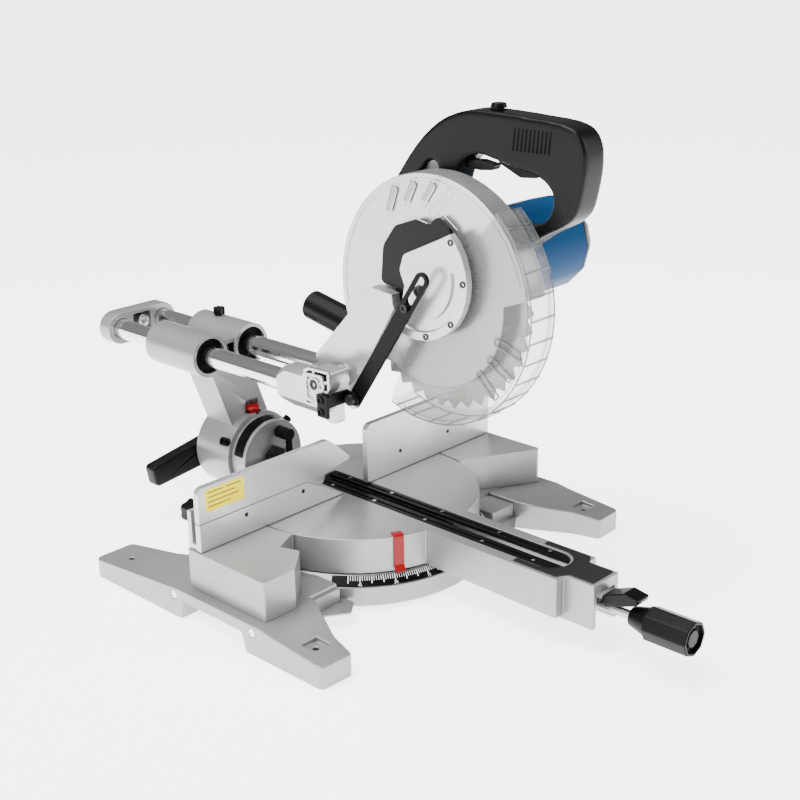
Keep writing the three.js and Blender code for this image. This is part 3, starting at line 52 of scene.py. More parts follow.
slot_of = {s["node"]: s["material_slot"] for s in frame["record"]["subparts"]}
scene = bpy.context.scene

# %% [markdown]
# All sizes below are in millimetres, measured from the table's pivot at bench level, and turned into
# Blender's metres in one place. The key axes are the ones that the parts turn about.

# %% Key places
MM = 0.001
TABLE = 82.0
ARBOR_Y, ARBOR_Z = -133.0, 346.0
MOTOR_Y, MOTOR_Z = -165.0, 382.0
HINGE_Z = 237.5
HANDLE_X = 36.0
GUARD_FACE = -17.2
SHIELD_FACE = -20.9
LEFT, FRONT, UP = (-1, 0, 0), (0, -1, 0), (0, 0, 1)
print("arbor at", ARBOR_Y, ARBOR_Z)

# %% [markdown]
# ## Finishes
# Most of the saw is die-cast aluminium under a thin silver coat: nearly smooth, with a fine orange-peel
# grain and faint blotches in its gloss. One helper builds a finish from a colour, a gloss that noise
# varies, and a bump that a second, finer noise drives. Noise is read from Object coordinates, so the
# grain has the same size on every part.

# %% A helper for finishes
def finish(name, colour, metallic, rough, spread=0.06, grain=900.0, bump=0.05, tint=0.06, stretch=(1, 1, 1),
           patch=18.0, **extra):
    made = bpy.data.materials.new(name)
    made.use_nodes = True
    tree = made.node_tree
    shader = tree.nodes["Principled BSDF"]
    shader.inputs["Metallic"].default_value = metallic
    place = tree.nodes.new("ShaderNodeTexCoord")
    mapping = tree.nodes.new("ShaderNodeMapping")
    mapping.inputs["Scale"].default_value = stretch
    tree.links.new(place.outputs["Object"], mapping.inputs["Vector"])

    def noise(scale, detail):
        node = tree.nodes.new("ShaderNodeTexNoise")
        node.inputs["Scale"].default_value = scale
        node.inputs["Detail"].default_value = detail
        tree.links.new(mapping.outputs["Vector"], node.inputs["Vector"])
        return node

    def ranged(source, low, high):
        node = tree.nodes.new("ShaderNodeMapRange")
        node.inputs["From Min"].default_value = 0.3
        node.inputs["From Max"].default_value = 0.7
        node.inputs["To Min"].default_value = low
        node.inputs["To Max"].default_value = high
        tree.links.new(source, node.inputs["Value"])
        return node.outputs["Result"]

    blotch = noise(patch, 4)
    fine = noise(grain, 2)
    ramp = tree.nodes.new("ShaderNodeMix")
    ramp.data_type = "RGBA"
    darker = [c * (1 - tint) for c in colour]
    lighter = [min(1.0, c * (1 + tint)) for c in colour]
    ramp.inputs["A"].default_value = (*darker, 1)
    ramp.inputs["B"].default_value = (*lighter, 1)
    tree.links.new(ranged(blotch.outputs["Fac"], 0, 1), ramp.inputs["Factor"])
    tree.links.new(ramp.outputs["Result"], shader.inputs["Base Color"])
    tree.links.new(ranged(fine.outputs["Fac"], rough - spread, rough + spread), shader.inputs["Roughness"])
    relief = tree.nodes.new("ShaderNodeBump")
    relief.inputs["Strength"].default_value = bump
    relief.inputs["Distance"].default_value = 0.0004
    tree.links.new(fine.outputs["Fac"], relief.inputs["Height"])
    tree.links.new(relief.outputs["Normal"], shader.inputs["Normal"])
    for socket, value in extra.items():
        shader.inputs[socket.replace("_", " ")].default_value = value
    return made

print("finish helper ready")

# %% [markdown]
# Now the saw's own finishes. The castings are silver paint; the fence and table are milled, so they are
# brighter and their tint varies more. The chrome of the rails has noise that is drawn out along them.

# %% The finishes
silver_paint = finish("silver paint", (0.27, 0.272, 0.275), 0.55, 0.33, 0.06, 1100, 0.12, 0.07)
guard_silver = finish("guard silver", (0.44, 0.443, 0.447), 0.72, 0.27, 0.05, 1300, 0.08, 0.05)
milled = finish("milled aluminium", (0.46, 0.463, 0.467), 0.7, 0.30, 0.08, 1500, 0.06, 0.07)
table_top = finish("milled table", (0.43, 0.433, 0.437), 0.7, 0.30, 0.08, 1500, 0.05, 0.14, patch=11.0)
bright_steel = finish("rail chrome", (0.78, 0.785, 0.79), 1.0, 0.16, 0.03, 300, 0.01, 0.03, (3, 0.2, 3))
blade_steel = finish("blade steel", (0.36, 0.365, 0.37), 0.9, 0.24, 0.06, 600, 0.04, 0.06)
dark_steel = finish("blackened steel", (0.02, 0.0205, 0.022), 0.6, 0.36, 0.07, 800, 0.08, 0.15,
                    Specular_IOR_Level=0.2)
black_paint = finish("black paint", (0.002, 0.002, 0.0022), 0.0, 0.34, 0.06, 900, 0.08, 0.15,
                     Specular_IOR_Level=0.07)
black_plastic = finish("moulded black plastic", (0.002, 0.002, 0.0022), 0.0, 0.33, 0.07, 1600, 0.15, 0.15,
                       Specular_IOR_Level=0.11)
soft_black = finish("black rubber", (0.002, 0.002, 0.002), 0.0, 0.6, 0.06, 1200, 0.3, 0.2,
                    Specular_IOR_Level=0.05)
grey_plastic = finish("grey plastic", (0.012, 0.012, 0.013), 0.0, 0.45, 0.06, 1400, 0.2, 0.1,
                      Specular_IOR_Level=0.2)
blue_plastic = finish("blue plastic", (0.0018, 0.034, 0.10), 0.0, 0.4, 0.05, 1400, 0.10, 0.06,
                      Specular_IOR_Level=0.05)
red_plastic = finish("red plastic", (0.24, 0.0012, 0.003), 0.0, 0.35, 0.05, 1400, 0.08, 0.05,
                     Specular_IOR_Level=0.25)
copper = finish("copper winding", (0.55, 0.24, 0.10), 0.9, 0.35, 0.06, 700, 0.1, 0.1)
white_ink = finish("white marking", (0.78, 0.78, 0.78), 0.0, 0.55, 0.03, 900, 0.02, 0.03)
# The label's yellow is its own colour; its faint emission is a painted glow that brightens it beyond the
# lamps' light.
yellow_label_painted_glow = finish("yellow label, painted glow", (0.88, 0.70, 0.0), 0.0, 0.5, 0.03, 900, 0.02, 0.03,
                      Specular_IOR_Level=0.05,
                      Emission_Color=(1, 0.8, 0, 1), Emission_Strength=0.25)
clear_guard = finish("clear plastic", (0.20, 0.205, 0.21), 0.0, 0.07, 0.02, 300, 0.02, 0.02,
                     IOR=1.49, Alpha=0.22)
clear_edge = finish("clear plastic edge", (0.12, 0.125, 0.13), 0.0, 0.12, 0.02, 300, 0.02, 0.02,
                    IOR=1.49, Alpha=0.6)
print("made", len(bpy.data.materials), "finishes")

# %% [markdown]
# Each slot of the record gets one finish, so that a part can be repainted by its slot.

# %% Slots
FINISH_OF = {
    "cast_alu": silver_paint, "machined_alu": milled, "bright_steel": bright_steel,
    "blade_steel": blade_steel, "dark_steel": dark_steel, "black_plastic": black_plastic,
    "black_metal": black_paint, "grey_plastic": grey_plastic, "blue_plastic": blue_plastic,
    "red_plastic": red_plastic,
    "clear_plastic": clear_guard, "seal_rubber": soft_black, "copper_winding": copper,
}
for name, node in nodes.items():
    node.data.materials.clear()
    node.data.materials.append(FINISH_OF[slot_of[name]])
print("painted", len(nodes), "nodes")

# %% [markdown]
# ## Rounding the castings
# A casting has no sharp edge: a small radius on each edge catches the light and is what makes it look
# cast. Each node is loose triangles, so its copy is merged, its flat faces are dissolved into whole
# faces, and a Bevel modifier rounds the edges that are sharper than a limit. Weighted normals keep the
# flat faces flat, so only the rounding catches the light. Castings with many short edges get a bevel that
# stops before it overlaps itself.

# %% Selecting and rounding
def choose(*objects):
    bpy.ops.object.select_all(action="DESELECT")
    for item in objects:
        item.select_set(True)
    bpy.context.view_layer.objects.active = objects[-1]


def settle(piece, body, slot, *replaced):
    choose(piece)
    bpy.ops.object.transform_apply(location=True, rotation=True, scale=True)
    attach(piece, body)
    if replaced:
        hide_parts(*replaced)
    return piece


def flat_faces_first(piece):
    choose(piece)
    weighted = piece.modifiers.new("normals", "WEIGHTED_NORMAL")
    weighted.weight = 90
    weighted.keep_sharp = True
    bpy.ops.object.modifier_apply(modifier="normals")
    return piece


def bevelled(piece, width, segments=2, limit=35.0, clamp=True):
    choose(piece)
    rounding = piece.modifiers.new("edges", "BEVEL")
    rounding.width = width * MM
    rounding.segments = segments
    rounding.limit_method = "ANGLE"
    rounding.angle_limit = radians(limit)
    rounding.use_clamp_overlap = clamp
    rounding.miter_outer = "MITER_ARC"
    bpy.ops.object.modifier_apply(modifier="edges")
    bpy.ops.object.shade_smooth_by_angle(angle=radians(38))
    return flat_faces_first(piece)


def copy_of(name):
    source = nodes[name]
    piece = source.copy()
    piece.data = source.data.copy()
    for key in list(piece.keys()):
        del piece[key]
    piece.parent = None
    piece.hide_render = False
    piece.hide_viewport = False
    piece.name = "shaped_" + name
    scene.collection.objects.link(piece)
    choose(piece)
    bpy.ops.object.mode_set(mode="EDIT")
    bpy.ops.mesh.select_all(action="SELECT")
    bpy.ops.mesh.remove_doubles(threshold=0.00002)
    bpy.ops.mesh.dissolve_limited(angle_limit=radians(1.5))
    bpy.ops.object.mode_set(mode="OBJECT")
    return piece


def rounded(name, width, segments=2, limit=35.0, clamp=False):
    piece = bevelled(copy_of(name), width, segments, limit, clamp)
    return settle(piece, body_of[name], slot_of[name], name)


ROUNDING = {
    "base_casting": 1.2, "left_foot": 1.5, "right_foot": 1.5, "turntable_casting": 0.9, "right_fence": 0.6,
    "left_fence": 0.6, "sliding_fence": 0.6, "fence_clamp_knob": 1.0, "kerf_insert_left": 0.3,
    "kerf_insert_right": 0.3, "arm_cover": 0.25, "mitre_pointer": 0.5, "mitre_scale": 0.1,
    "tilt_casting": 1.2, "bevel_lock_lever": 3.5, "rail_lock_knob": 0.8, "bevel_button": 1.1,
    "bevel_detent_pin": 0.8, "detent_lever": 1.4, "rail_yoke": 1.2, "carriage_casting": 1.2,
    "carriage_side_plate": 0.35, "link_bracket": 0.6, "guard_link": 0.4, "link_foot_bolt": 0.4,
    "hinge_pin": 0.4, "upper_guard": 0.9, "arbor_cover": 0.5, "guard_cover_plate": 0.8, "gear_housing": 1.5,
    "motor_housing": 2.0, "motor_end_cap": 1.6, "switch_trigger": 1.0, "lock_off_button": 0.6,
    "guard_release_lever": 0.6, "cable_hook": 0.4, "dust_port": 0.5,
}
CAREFUL = ("base_casting", "tilt_casting", "carriage_casting", "gear_housing", "motor_housing")
shaped = {name: rounded(name, width, clamp=name in CAREFUL) for name, width in ROUNDING.items()}


def milled_faces(piece, material, test):
    piece.data.materials.append(material)
    for face in piece.data.polygons:
        if test(face):
            face.material_index = len(piece.data.materials) - 1


def is_top(face):
    return face.normal.z > 0.95 and face.center.z > 81.5 * MM


milled_faces(shaped["turntable_casting"], table_top, is_top)
milled_faces(shaped["base_casting"], table_top, is_top)
for name in ("upper_guard", "carriage_casting"):
    shaped[name].data.materials[0] = guard_silver
for name, node in nodes.items():
    if name not in ROUNDING:
        choose(node)
        bpy.ops.object.shade_smooth_by_angle(angle=radians(35))
print("rounded", len(shaped), "parts")

# %% [markdown]
# ## Flat shapes with thickness
# Many parts are an outline cut from plate or moulded to one thickness: the handle, the guard's ribs, the
# link. A circle primitive gives as many points as the outline has; they are moved onto it, the face is
# extruded, and a bevel rounds the rim.

# %% A helper for outlines
def corner_points(points, steps=6):
    path = []
    count = len(points)
    for i, (u, v, *r) in enumerate(points):
        here = Vector((u, v))
        if not r or r[0] == 0:
            path.append(here)
            continue
        before = (Vector(points[i - 1][:2]) - here).normalized()
        after = (Vector(points[(i + 1) % count][:2]) - here).normalized()
        half = before.angle(after) / 2
        start = here + before * (r[0] / max(0.05, abs(sin(half) / cos(half))))
        end = here + after * (r[0] / max(0.05, abs(sin(half) / cos(half))))
        for s in range(steps + 1):
            t = s / steps
            path.append(start * (1 - t) ** 2 + here * 2 * t * (1 - t) + end * t ** 2)
    return path


# "side" outlines are in y, z and grow along x; "front" in x, z along y; "plan" in x, y along z.
AXES = {"side": ((0, 1, 0), (0, 0, 1), (1, 0, 0)), "front": ((1, 0, 0), (0, 0, 1), (0, 1, 0)),
        "plan": ((1, 0, 0), (0, 1, 0), (0, 0, 1))}


def slab(name, points, low, high, way, material, bevel=0.0, segments=3, limit=50):
    path = corner_points(points)
    u, v, w = (Vector(a) for a in AXES[way])
    bpy.ops.object.select_all(action="DESELECT")
    bpy.ops.mesh.primitive_circle_add(vertices=len(path), radius=0.01, fill_type="NGON")
    piece = bpy.context.object
    piece.name = name
    for vertex, spot in zip(piece.data.vertices, path):
        vertex.co = (u * spot[0] + v * spot[1] + w * low) * MM
    bpy.ops.object.mode_set(mode="EDIT")
    bpy.ops.mesh.select_all(action="SELECT")
    bpy.ops.mesh.extrude_region_move(TRANSFORM_OT_translate={"value": w * (high - low) * MM})
    bpy.ops.mesh.select_all(action="SELECT")
    bpy.ops.mesh.normals_make_consistent(inside=False)
    bpy.ops.object.mode_set(mode="OBJECT")
    piece.data.materials.append(material)
    if bevel:
        bevelled(piece, bevel, segments, limit, clamp=False)
    return piece


def cut_away(piece, *tools):
    for tool in tools:
        choose(piece)
        cutter = piece.modifiers.new("cut", "BOOLEAN")
        cutter.operation = "DIFFERENCE"
        cutter.solver = "EXACT"
        cutter.object = tool
        bpy.ops.object.modifier_apply(modifier="cut")
        bpy.data.objects.remove(tool)
    return piece


def bar(name, start, end, radius, material, sides=32, bevel=0.0, end_radius=None):
    a, b = Vector(start) * MM, Vector(end) * MM
    bpy.ops.object.select_all(action="DESELECT")
    bpy.ops.mesh.primitive_cone_add(vertices=sides, radius1=radius * MM,
                                    radius2=(radius if end_radius is None else end_radius) * MM,
                                    depth=(b - a).length, location=(a + b) / 2)
    piece = bpy.context.object
    piece.name = name
    piece.rotation_euler = (b - a).to_track_quat("Z", "Y").to_euler()
    bpy.ops.object.transform_apply(location=True, rotation=True, scale=True)
    piece.data.materials.append(material)
    if bevel:
        bevelled(piece, bevel, 3, 40, clamp=False)
    return piece


def joined(name, pieces):
    choose(*pieces)
    bpy.ops.object.join()
    whole = bpy.context.object
    whole.name = name
    return whole

print("outline helpers ready")

# %% [markdown]
# ## Screws
# A socket screw is a low cylinder with a hexagonal well in its head; here the well is round. Each screw is
# modelled alike: its top face is inset and pushed in, and it is placed where the castings are screwed
# together.

# %% Socket screws
def socket_screw(name, where, direction, radius, height, material, sides=24):
    bpy.ops.object.select_all(action="DESELECT")
    bpy.ops.mesh.primitive_cylinder_add(vertices=sides, radius=radius * MM, depth=height * MM,
                                        location=(0, 0, height / 2 * MM))
    screw = bpy.context.object
    screw.name = name
    bpy.ops.object.mode_set(mode="EDIT")
    bpy.ops.mesh.select_all(action="DESELECT")
    mesh = bmesh.from_edit_mesh(screw.data)
    for face in mesh.faces:
        face.select = face.normal.z > 0.9
    bmesh.update_edit_mesh(screw.data)
    bpy.ops.mesh.inset(thickness=radius * 0.18 * MM)
    bpy.ops.mesh.inset(thickness=radius * 0.27 * MM)
    bpy.ops.mesh.extrude_region_move(TRANSFORM_OT_translate={"value": (0, 0, -height * 0.5 * MM)})
    bpy.ops.object.mode_set(mode="OBJECT")
    screw.data.materials.append(material)
    bpy.ops.object.shade_smooth_by_angle(angle=radians(35))
    screw.rotation_euler = Vector(direction).to_track_quat("Z", "Y").to_euler()
    screw.location = Vector(where) * MM
    bpy.ops.object.transform_apply(location=True, rotation=True, scale=True)
    return screw


def screws(name, spots, direction, radius, height, material, body, slot):
    made = [socket_screw(name, spot, direction, radius, height, material) for spot in spots]
    return settle(joined(name, made), body, slot)


PLATE_UP = 27
PLATE_SCREW_R = 65
PLATE_Z = ARBOR_Z + PLATE_UP
cover_spots = [(-38.4, ARBOR_Y + PLATE_SCREW_R * cos(radians(a)), PLATE_Z + PLATE_SCREW_R * sin(radians(a)))
               for a in (138, 178, 222, 258)]
screws("cover_plate_screws", cover_spots, LEFT, 3.6, 2.4, dark_steel, "head", "dark_steel")
screws("left_foot_screws", [(-254.5, y, 26) for y in (-94, 36)], LEFT, 4.4, 1.4, bright_steel, "base",
       "bright_steel")
bracket_spots = [(-86.0, -31, z) for z in (HINGE_Z - 14, HINGE_Z - 28)]
screws("link_bracket_screws", bracket_spots, LEFT, 4.6, 4, black_paint, "carriage", "black_metal")
screws("fence_left_screws", [(x, 0.6, TABLE + 24) for x in (-89, -175)], FRONT, 2.4, 1.0, dark_steel, "base",
       "dark_steel")
screws("fence_right_screws", [(x, 0.6, TABLE + 25) for x in (74, 162)], FRONT, 2.4, 1.0, dark_steel, "base",
       "dark_steel")
insert_spots = [(x, y, TABLE - 1.0) for x in (-14, 16) for y in (-276, -205, -120, -40, 30)]
screws("insert_screws", insert_spots, UP, 2.2, 0.7, bright_steel, "turntable", "bright_steel")
screws("left_foot_bolt_heads", [(-230, -165, 23.0), (-231, 145, 24)], UP, 3.0, 0.8, dark_steel, "base",
       "dark_steel")
print("screws placed")

# %% [markdown]
# ## The mitre scale
# The black band around the base carries a mark for each degree, longer ones each five and figures each
# fifteen. A mark is a thin slab laid on the cone of the band; it is modelled once at the front and
# turned about the pivot.

# %% Degree marks
SCALE_INNER, SCALE_OUTER = 147.9, 156.9
SCALE_TOP, SCALE_LOW = 39.2, 30.2


def scale_mark(angle, start, end, width):
    def spot(share, offset):
        r = SCALE_INNER + (SCALE_OUTER - SCALE_INNER) * share
        z = SCALE_TOP + (SCALE_LOW - SCALE_TOP) * share + 0.12
        turned = radians(-90 + angle)
        out = Vector((cos(turned), sin(turned), 0))
        along = Vector((-sin(turned), cos(turned), 0))
        return out * r + along * offset + Vector((0, 0, z))
    return [spot(start, -width), spot(end, -width), spot(end, width), spot(start, width)]


def add_marks(name, quads, material, body, slot, thick=0.12):
    bpy.ops.object.select_all(action="DESELECT")
    bpy.ops.mesh.primitive_plane_add(size=0.001)
    piece = bpy.context.object
    piece.name = name
    mesh = bmesh.new()
    for quad in quads:
        mesh.faces.new([mesh.verts.new(p * MM) for p in quad])
    mesh.to_mesh(piece.data)
    mesh.free()
    piece.data.materials.append(material)
    choose(piece)
    solid = piece.modifiers.new("thickness", "SOLIDIFY")
    solid.thickness = thick * MM
    solid.offset = 1
    bpy.ops.object.modifier_apply(modifier="thickness")
    return settle(piece, body, slot)


marks = []
for degree in range(-50, 51):
    long = 0.72 if degree % 5 == 0 else 0.48
    marks.append(scale_mark(degree, 0.05, long, 0.55 if degree % 5 == 0 else 0.36))
add_marks("mitre_scale_marks", marks, white_ink, "base", "black_metal")


def figure(text, size, place, material):
    bpy.ops.object.select_all(action="DESELECT")
    bpy.ops.object.text_add()
    letters = bpy.context.object
    letters.data.body = text
    letters.data.size = size * MM
    letters.data.align_x = "CENTER"
    letters.data.extrude = 0.05 * MM
    letters.matrix_world = place
    choose(letters)
    bpy.ops.object.convert(target="MESH")
    bpy.ops.object.transform_apply(location=True, rotation=True, scale=True)
    bpy.context.object.data.materials.clear()
    bpy.context.object.data.materials.append(material)
    return bpy.context.object


def on_scale(degree):
    turned = radians(-90 + degree)
    out = Vector((cos(turned), sin(turned), 0))
    along = Vector((-sin(turned), cos(turned), 0))
    slope = (out * (SCALE_OUTER - SCALE_INNER) + Vector((0, 0, SCALE_LOW - SCALE_TOP))).normalized()
    normal = along.cross(-slope)
    share = 0.97
    spot = out * (SCALE_INNER + (SCALE_OUTER - SCALE_INNER) * share)
    spot.z = SCALE_TOP + (SCALE_LOW - SCALE_TOP) * share
    spot += normal * 0.15
    return Matrix.Translation(spot * MM) @ Matrix((along, -slope, normal)).transposed().to_4x4()


figures = [figure(str(abs(d)), 4.6, on_scale(d), white_ink) for d in range(-45, 46, 15)]
settle(joined("mitre_scale_figures", figures), "base", "black_metal")
print(len(marks), "marks on the mitre scale")

# %% [markdown]
# ## The lower guard's ribs
# The clear guard is stiffened by raised frames on its side face and by ribs across its rim. Each frame
# is a rectangle of four thin walls, set radially. Thin strips along its edges make the sheet's ends read.

# %% Ribs of the clear guard
def polar(angle, radius):
    return (ARBOR_Y + radius * cos(radians(angle)), ARBOR_Z + radius * sin(radians(angle)))


def radial_frame(angle, inner, outer, half):
    a = radians(angle)
    d = Vector((cos(a), sin(a)))
    n = Vector((-sin(a), cos(a)))
    centre = Vector((ARBOR_Y, ARBOR_Z))
    shell = [centre + d * inner + n * half, centre + d * outer + n * half, centre + d * outer - n * half,
             centre + d * inner - n * half]
    inside = [centre + d * (inner + 1.6) + n * (half - 1.6), centre + d * (outer - 1.6) + n * (half - 1.6),
              centre + d * (outer - 1.6) - n * (half - 1.6), centre + d * (inner + 1.6) - n * (half - 1.6)]
    rib = slab("rib", [(*p, 1.5) for p in shell], -22.6, SHIELD_FACE, "side", clear_edge)
    hole = slab("rib hole", [(*p, 1.0) for p in inside], -24, -20, "side", clear_guard)
    return cut_away(rib, hole)


frames = [radial_frame(a, 98, 134, 4.6) for a in (197, 210, 223)]
settle(joined("guard_side_ribs", frames), "shield", "clear_plastic")
rim_ribs = []
for angle in range(140, 292, 10):
    low, high = angle - 0.45, angle + 0.45
    corners = [polar(low, 140.8), polar(low, 142.2), polar(high, 142.2), polar(high, 140.8)]
    rim_ribs.append(slab("rim rib", corners, -20.6, 16.6, "side", clear_edge, 0.2, 1))
settle(joined("guard_rim_ribs", rim_ribs), "shield", "clear_plastic")


def arc_strip(name, centre, start, end, low_r, high_r, x0, x1, material, steps=28):
    turn = [radians(start + (end - start) * i / steps) for i in range(steps + 1)]
    outer = [(centre[0] + high_r * cos(a), centre[1] + high_r * sin(a)) for a in turn]
    inner = [(centre[0] + low_r * cos(a), centre[1] + low_r * sin(a)) for a in reversed(turn)]
    return slab(name, outer + inner, x0, x1, "side", material)


ARBOR = (ARBOR_Y, ARBOR_Z)
edges = [arc_strip("guard edge", ARBOR, 134, 293, 139.4, 141.2, -21.5, -20.6, clear_edge),
         arc_strip("guard edge", ARBOR, 134, 293, 139.6, 141.2, 16.4, 17.1, clear_edge),
         arc_strip("guard edge", ARBOR, 138, 290, 135.6, 136.3, -21.5, -20.8, clear_edge)]
settle(joined("guard_edge_lines", edges), "shield", "clear_plastic")
print(len(frames), "frames,", len(rim_ribs), "rim ribs")

# %% [markdown]
# ## The main handle
# The handle is a closed D in two moulded shells. Its grip is nearly round in section. A curve through a few
# points gives the outline, which is extruded to the grip's width; the finger opening, the window and the room
# for the motor are cut out. A voxel remesh and a smooth pass then round every edge, as a moulding has it.

# %% The handle
def arbor_points(points):
    return [(ARBOR_Y + y, ARBOR_Z + z, *r) for y, z, *r in points]


def curve_through(points, steps=5):
    path = []
    count = len(points)
    for i in range(count):
        p0, p1, p2, p3 = (Vector(points[(i + k) % count][:2]) for k in (-1, 0, 1, 2))
        for s in range(steps):
            t = s / steps
            path.append(tuple(0.5 * (2 * p1 + (p2 - p0) * t + (2 * p0 - 5 * p1 + 4 * p2 - p3) * t ** 2
                                     + (3 * p1 - p0 - 3 * p2 + p3) * t ** 3)))
    return path


def moulded(piece, voxel, rounds, keep):
    choose(piece)
    remesh = piece.modifiers.new("skin", "REMESH")
    remesh.mode = "VOXEL"
    remesh.voxel_size = voxel * MM
    remesh.use_smooth_shade = True
    bpy.ops.object.modifier_apply(modifier="skin")
    soften = piece.modifiers.new("soften", "SMOOTH")
    soften.factor = 0.6
    soften.iterations = rounds
    bpy.ops.object.modifier_apply(modifier="soften")
    thin = piece.modifiers.new("thin", "DECIMATE")
    thin.ratio = keep
    bpy.ops.object.modifier_apply(modifier="thin")
    bpy.ops.object.shade_smooth()
    return piece


HANDLE_RIM = arbor_points(curve_through([
    (88, 98), (70, 130), (41, 163), (12, 184), (-20, 194.5), (-52, 196), (-84, 195), (-116, 193.5),
    (-142, 191.5), (-160, 185), (-169, 171), (-171, 152), (-167, 126), (-160, 103), (-146, 90), (-120, 76),
    (-92, 58), (-60, 50), (10, 66), (64, 80)]))
FINGER_HOLE = arbor_points(curve_through([
    (-6, 128), (-16, 143), (-34, 151), (-60, 147), (-90, 141), (-114, 136), (-129, 126), (-133, 112),
    (-126, 96), (-108, 85), (-84, 82), (-62, 92), (-32, 99), (-10, 102), (-2, 114)]))
SMALL_HOLE = arbor_points(curve_through([(36, 134), (50, 114), (42, 106), (24, 116), (20, 130), (26, 138)]))
GEAR_ROOM = arbor_points([(-20, -40), (64, -40), (63, 45), (-9, 71), (-60, 43)])
HANDLE_HALF = 17.4
handle = slab("main_handle", HANDLE_RIM, HANDLE_X - HANDLE_HALF, HANDLE_X + HANDLE_HALF, "side",
              black_plastic)
cut_away(handle, slab("finger hole", FINGER_HOLE, 0, 70, "side", black_plastic),
         slab("window", SMALL_HOLE, 0, 70, "side", black_plastic),
         bar("motor room", (0, MOTOR_Y, MOTOR_Z), (80, MOTOR_Y, MOTOR_Z), 53.5, black_plastic, 64),
         slab("gear room", GEAR_ROOM, 10, 60, "side", black_plastic))
moulded(handle, 1.7, 22, 0.4)
BUTTON_Y = ARBOR_Y - 49
well_low, well_high = (HANDLE_X, BUTTON_Y, ARBOR_Z + 168), (HANDLE_X, BUTTON_Y, ARBOR_Z + 210)
cut_away(handle, bar("button well", well_low, well_high, 9.8, black_plastic, 32))
choose(handle)
bpy.ops.object.shade_smooth_by_angle(angle=radians(50))
settle(handle, "head", "black_plastic", "handle_left_shell", "handle_right_shell")
ridges = []
for i in range(9):
    y = ARBOR_Y - 84 - i * 5.2
    top = ARBOR_Z + 193.4 - i * 0.25
    start, end = (HANDLE_X - 9, y, top), (HANDLE_X + 9, y + 1.5, top)
    ridges.append(bar("grip ridge", start, end, 1.5, soft_black, 10))
settle(joined("grip_ridges", ridges), "head", "black_plastic")
side_ridges = []
for i in range(10):
    y = ARBOR_Y - 82 - i * 5.0
    start, end = (19.0, y, ARBOR_Z + 160), (19.6, y - 2.5, ARBOR_Z + 183)
    side_ridges.append(bar("side ridge", start, end, 1.4, soft_black, 10))
settle(joined("grip_side_ridges", side_ridges), "head", "black_plastic")
print("handle with", len(handle.data.polygons), "faces")

# %% [markdown]
# ## The mitre lock knob
# The knob is an eight-sided grip with a round neck and a recessed round end. A cylinder of eight sides
# is inset and pushed in at its front end; a bevel softens its long edges.

# %% The knob
def lock_knob():
    bpy.ops.object.select_all(action="DESELECT")
    bpy.ops.mesh.primitive_cylinder_add(vertices=16, radius=19.3 * MM, depth=52 * MM, location=(0, 0, 0))
    knob = bpy.context.object
    knob.name = "lock_knob_grip"
    for vertex in knob.data.vertices:
        turned = round(degrees(atan2(vertex.co.y, vertex.co.x)) / 22.5)
        if turned % 2:
            vertex.co.x *= 0.93
            vertex.co.y *= 0.93
    bpy.ops.object.mode_set(mode="EDIT")
    bpy.ops.mesh.select_all(action="DESELECT")
    mesh = bmesh.from_edit_mesh(knob.data)
    for face in mesh.faces:
        face.select = face.normal.z > 0.9
    bmesh.update_edit_mesh(knob.data)
    bpy.ops.mesh.inset(thickness=3.2 * MM)
    bpy.ops.mesh.extrude_region_move(TRANSFORM_OT_translate={"value": (0, 0, -5 * MM)})
    bpy.ops.mesh.inset(thickness=5.4 * MM)
    bpy.ops.mesh.extrude_region_move(TRANSFORM_OT_translate={"value": (0, 0, 3.2 * MM)})
    bpy.ops.object.mode_set(mode="OBJECT")
    knob.data.materials.append(black_plastic)
    knob.rotation_euler = (pi / 2, 0, 0)
    knob.location = (0, -442.6 * MM, 52 * MM)
    bpy.ops.object.transform_apply(location=True, rotation=True, scale=True)
    bevelled(knob, 1.3, 3, 20, clamp=True)
    return knob


collar = bar("collar", (0, -395, 52), (0, -417, 52), 10.5, black_plastic, 32, 0.8, end_radius=16.5)
settle(joined("lock_knob", [lock_knob(), collar]), "mitre_knob", "black_plastic", "mitre_lock_knob")
print("knob made")

# %% [markdown]
# ## Label, guard slots and small trim
# A plain yellow label sits on the sliding fence; it carries only grey bars where print would be. The
# guard's embossed slots are raised rims with a shallow floor; three floors are in darker paint, painted shade
# in the slots, and a thin line follows the guard's rim.

# %% Label and slots
label_corners = [(x, TABLE + z, 1) for x, z in ((-231, 45), (-177, 45), (-177, 71), (-231, 71))]
# The label's finish glows a little: painted glow, since the label is no lamp.
label = slab("fence_label", label_corners,
             -0.25, -0.05, "front", yellow_label_painted_glow)
LABEL_BARS = ((-228, -206, 66.5), (-202, -181, 66.5), (-228, -190, 61), (-228, -184, 55.5), (-228, -196, 50))
BAR_H = 1.2
bars = []
for x0, x1, z in LABEL_BARS:
    low = TABLE + z
    corners = [(x0, low), (x1, low), (x1, low + BAR_H), (x0, low + BAR_H)]
    bars.append(slab("label bar", corners, -0.32, -0.2, "front", dark_steel))
settle(joined("fence_label", [label, *bars]), "left_slider", "machined_alu")


def slot_strip(start, end, half):
    a, b = Vector(start), Vector(end)
    d = (b - a).normalized()
    n = Vector((-d.y, d.x)) * half
    return [(*(a + n), half * 0.8), (*(b + n), half * 0.8), (*(b - n), half * 0.8), (*(a - n), half * 0.8)]


GUARD_SLOTS = [((-87, 386), (-74, 349)), ((-117, 396), (-100, 363)), ((-149, 401), (-125, 367)),
               ((-178, 396), (-135, 353))]


def clipped(start, end, limit=124.0):
    hub = Vector((ARBOR_Y, ARBOR_Z - TABLE))
    a, b = Vector(start), Vector(end)
    while (a - hub).length > limit:
        a += (b - a).normalized() * 0.5
    return tuple(a), tuple(b)


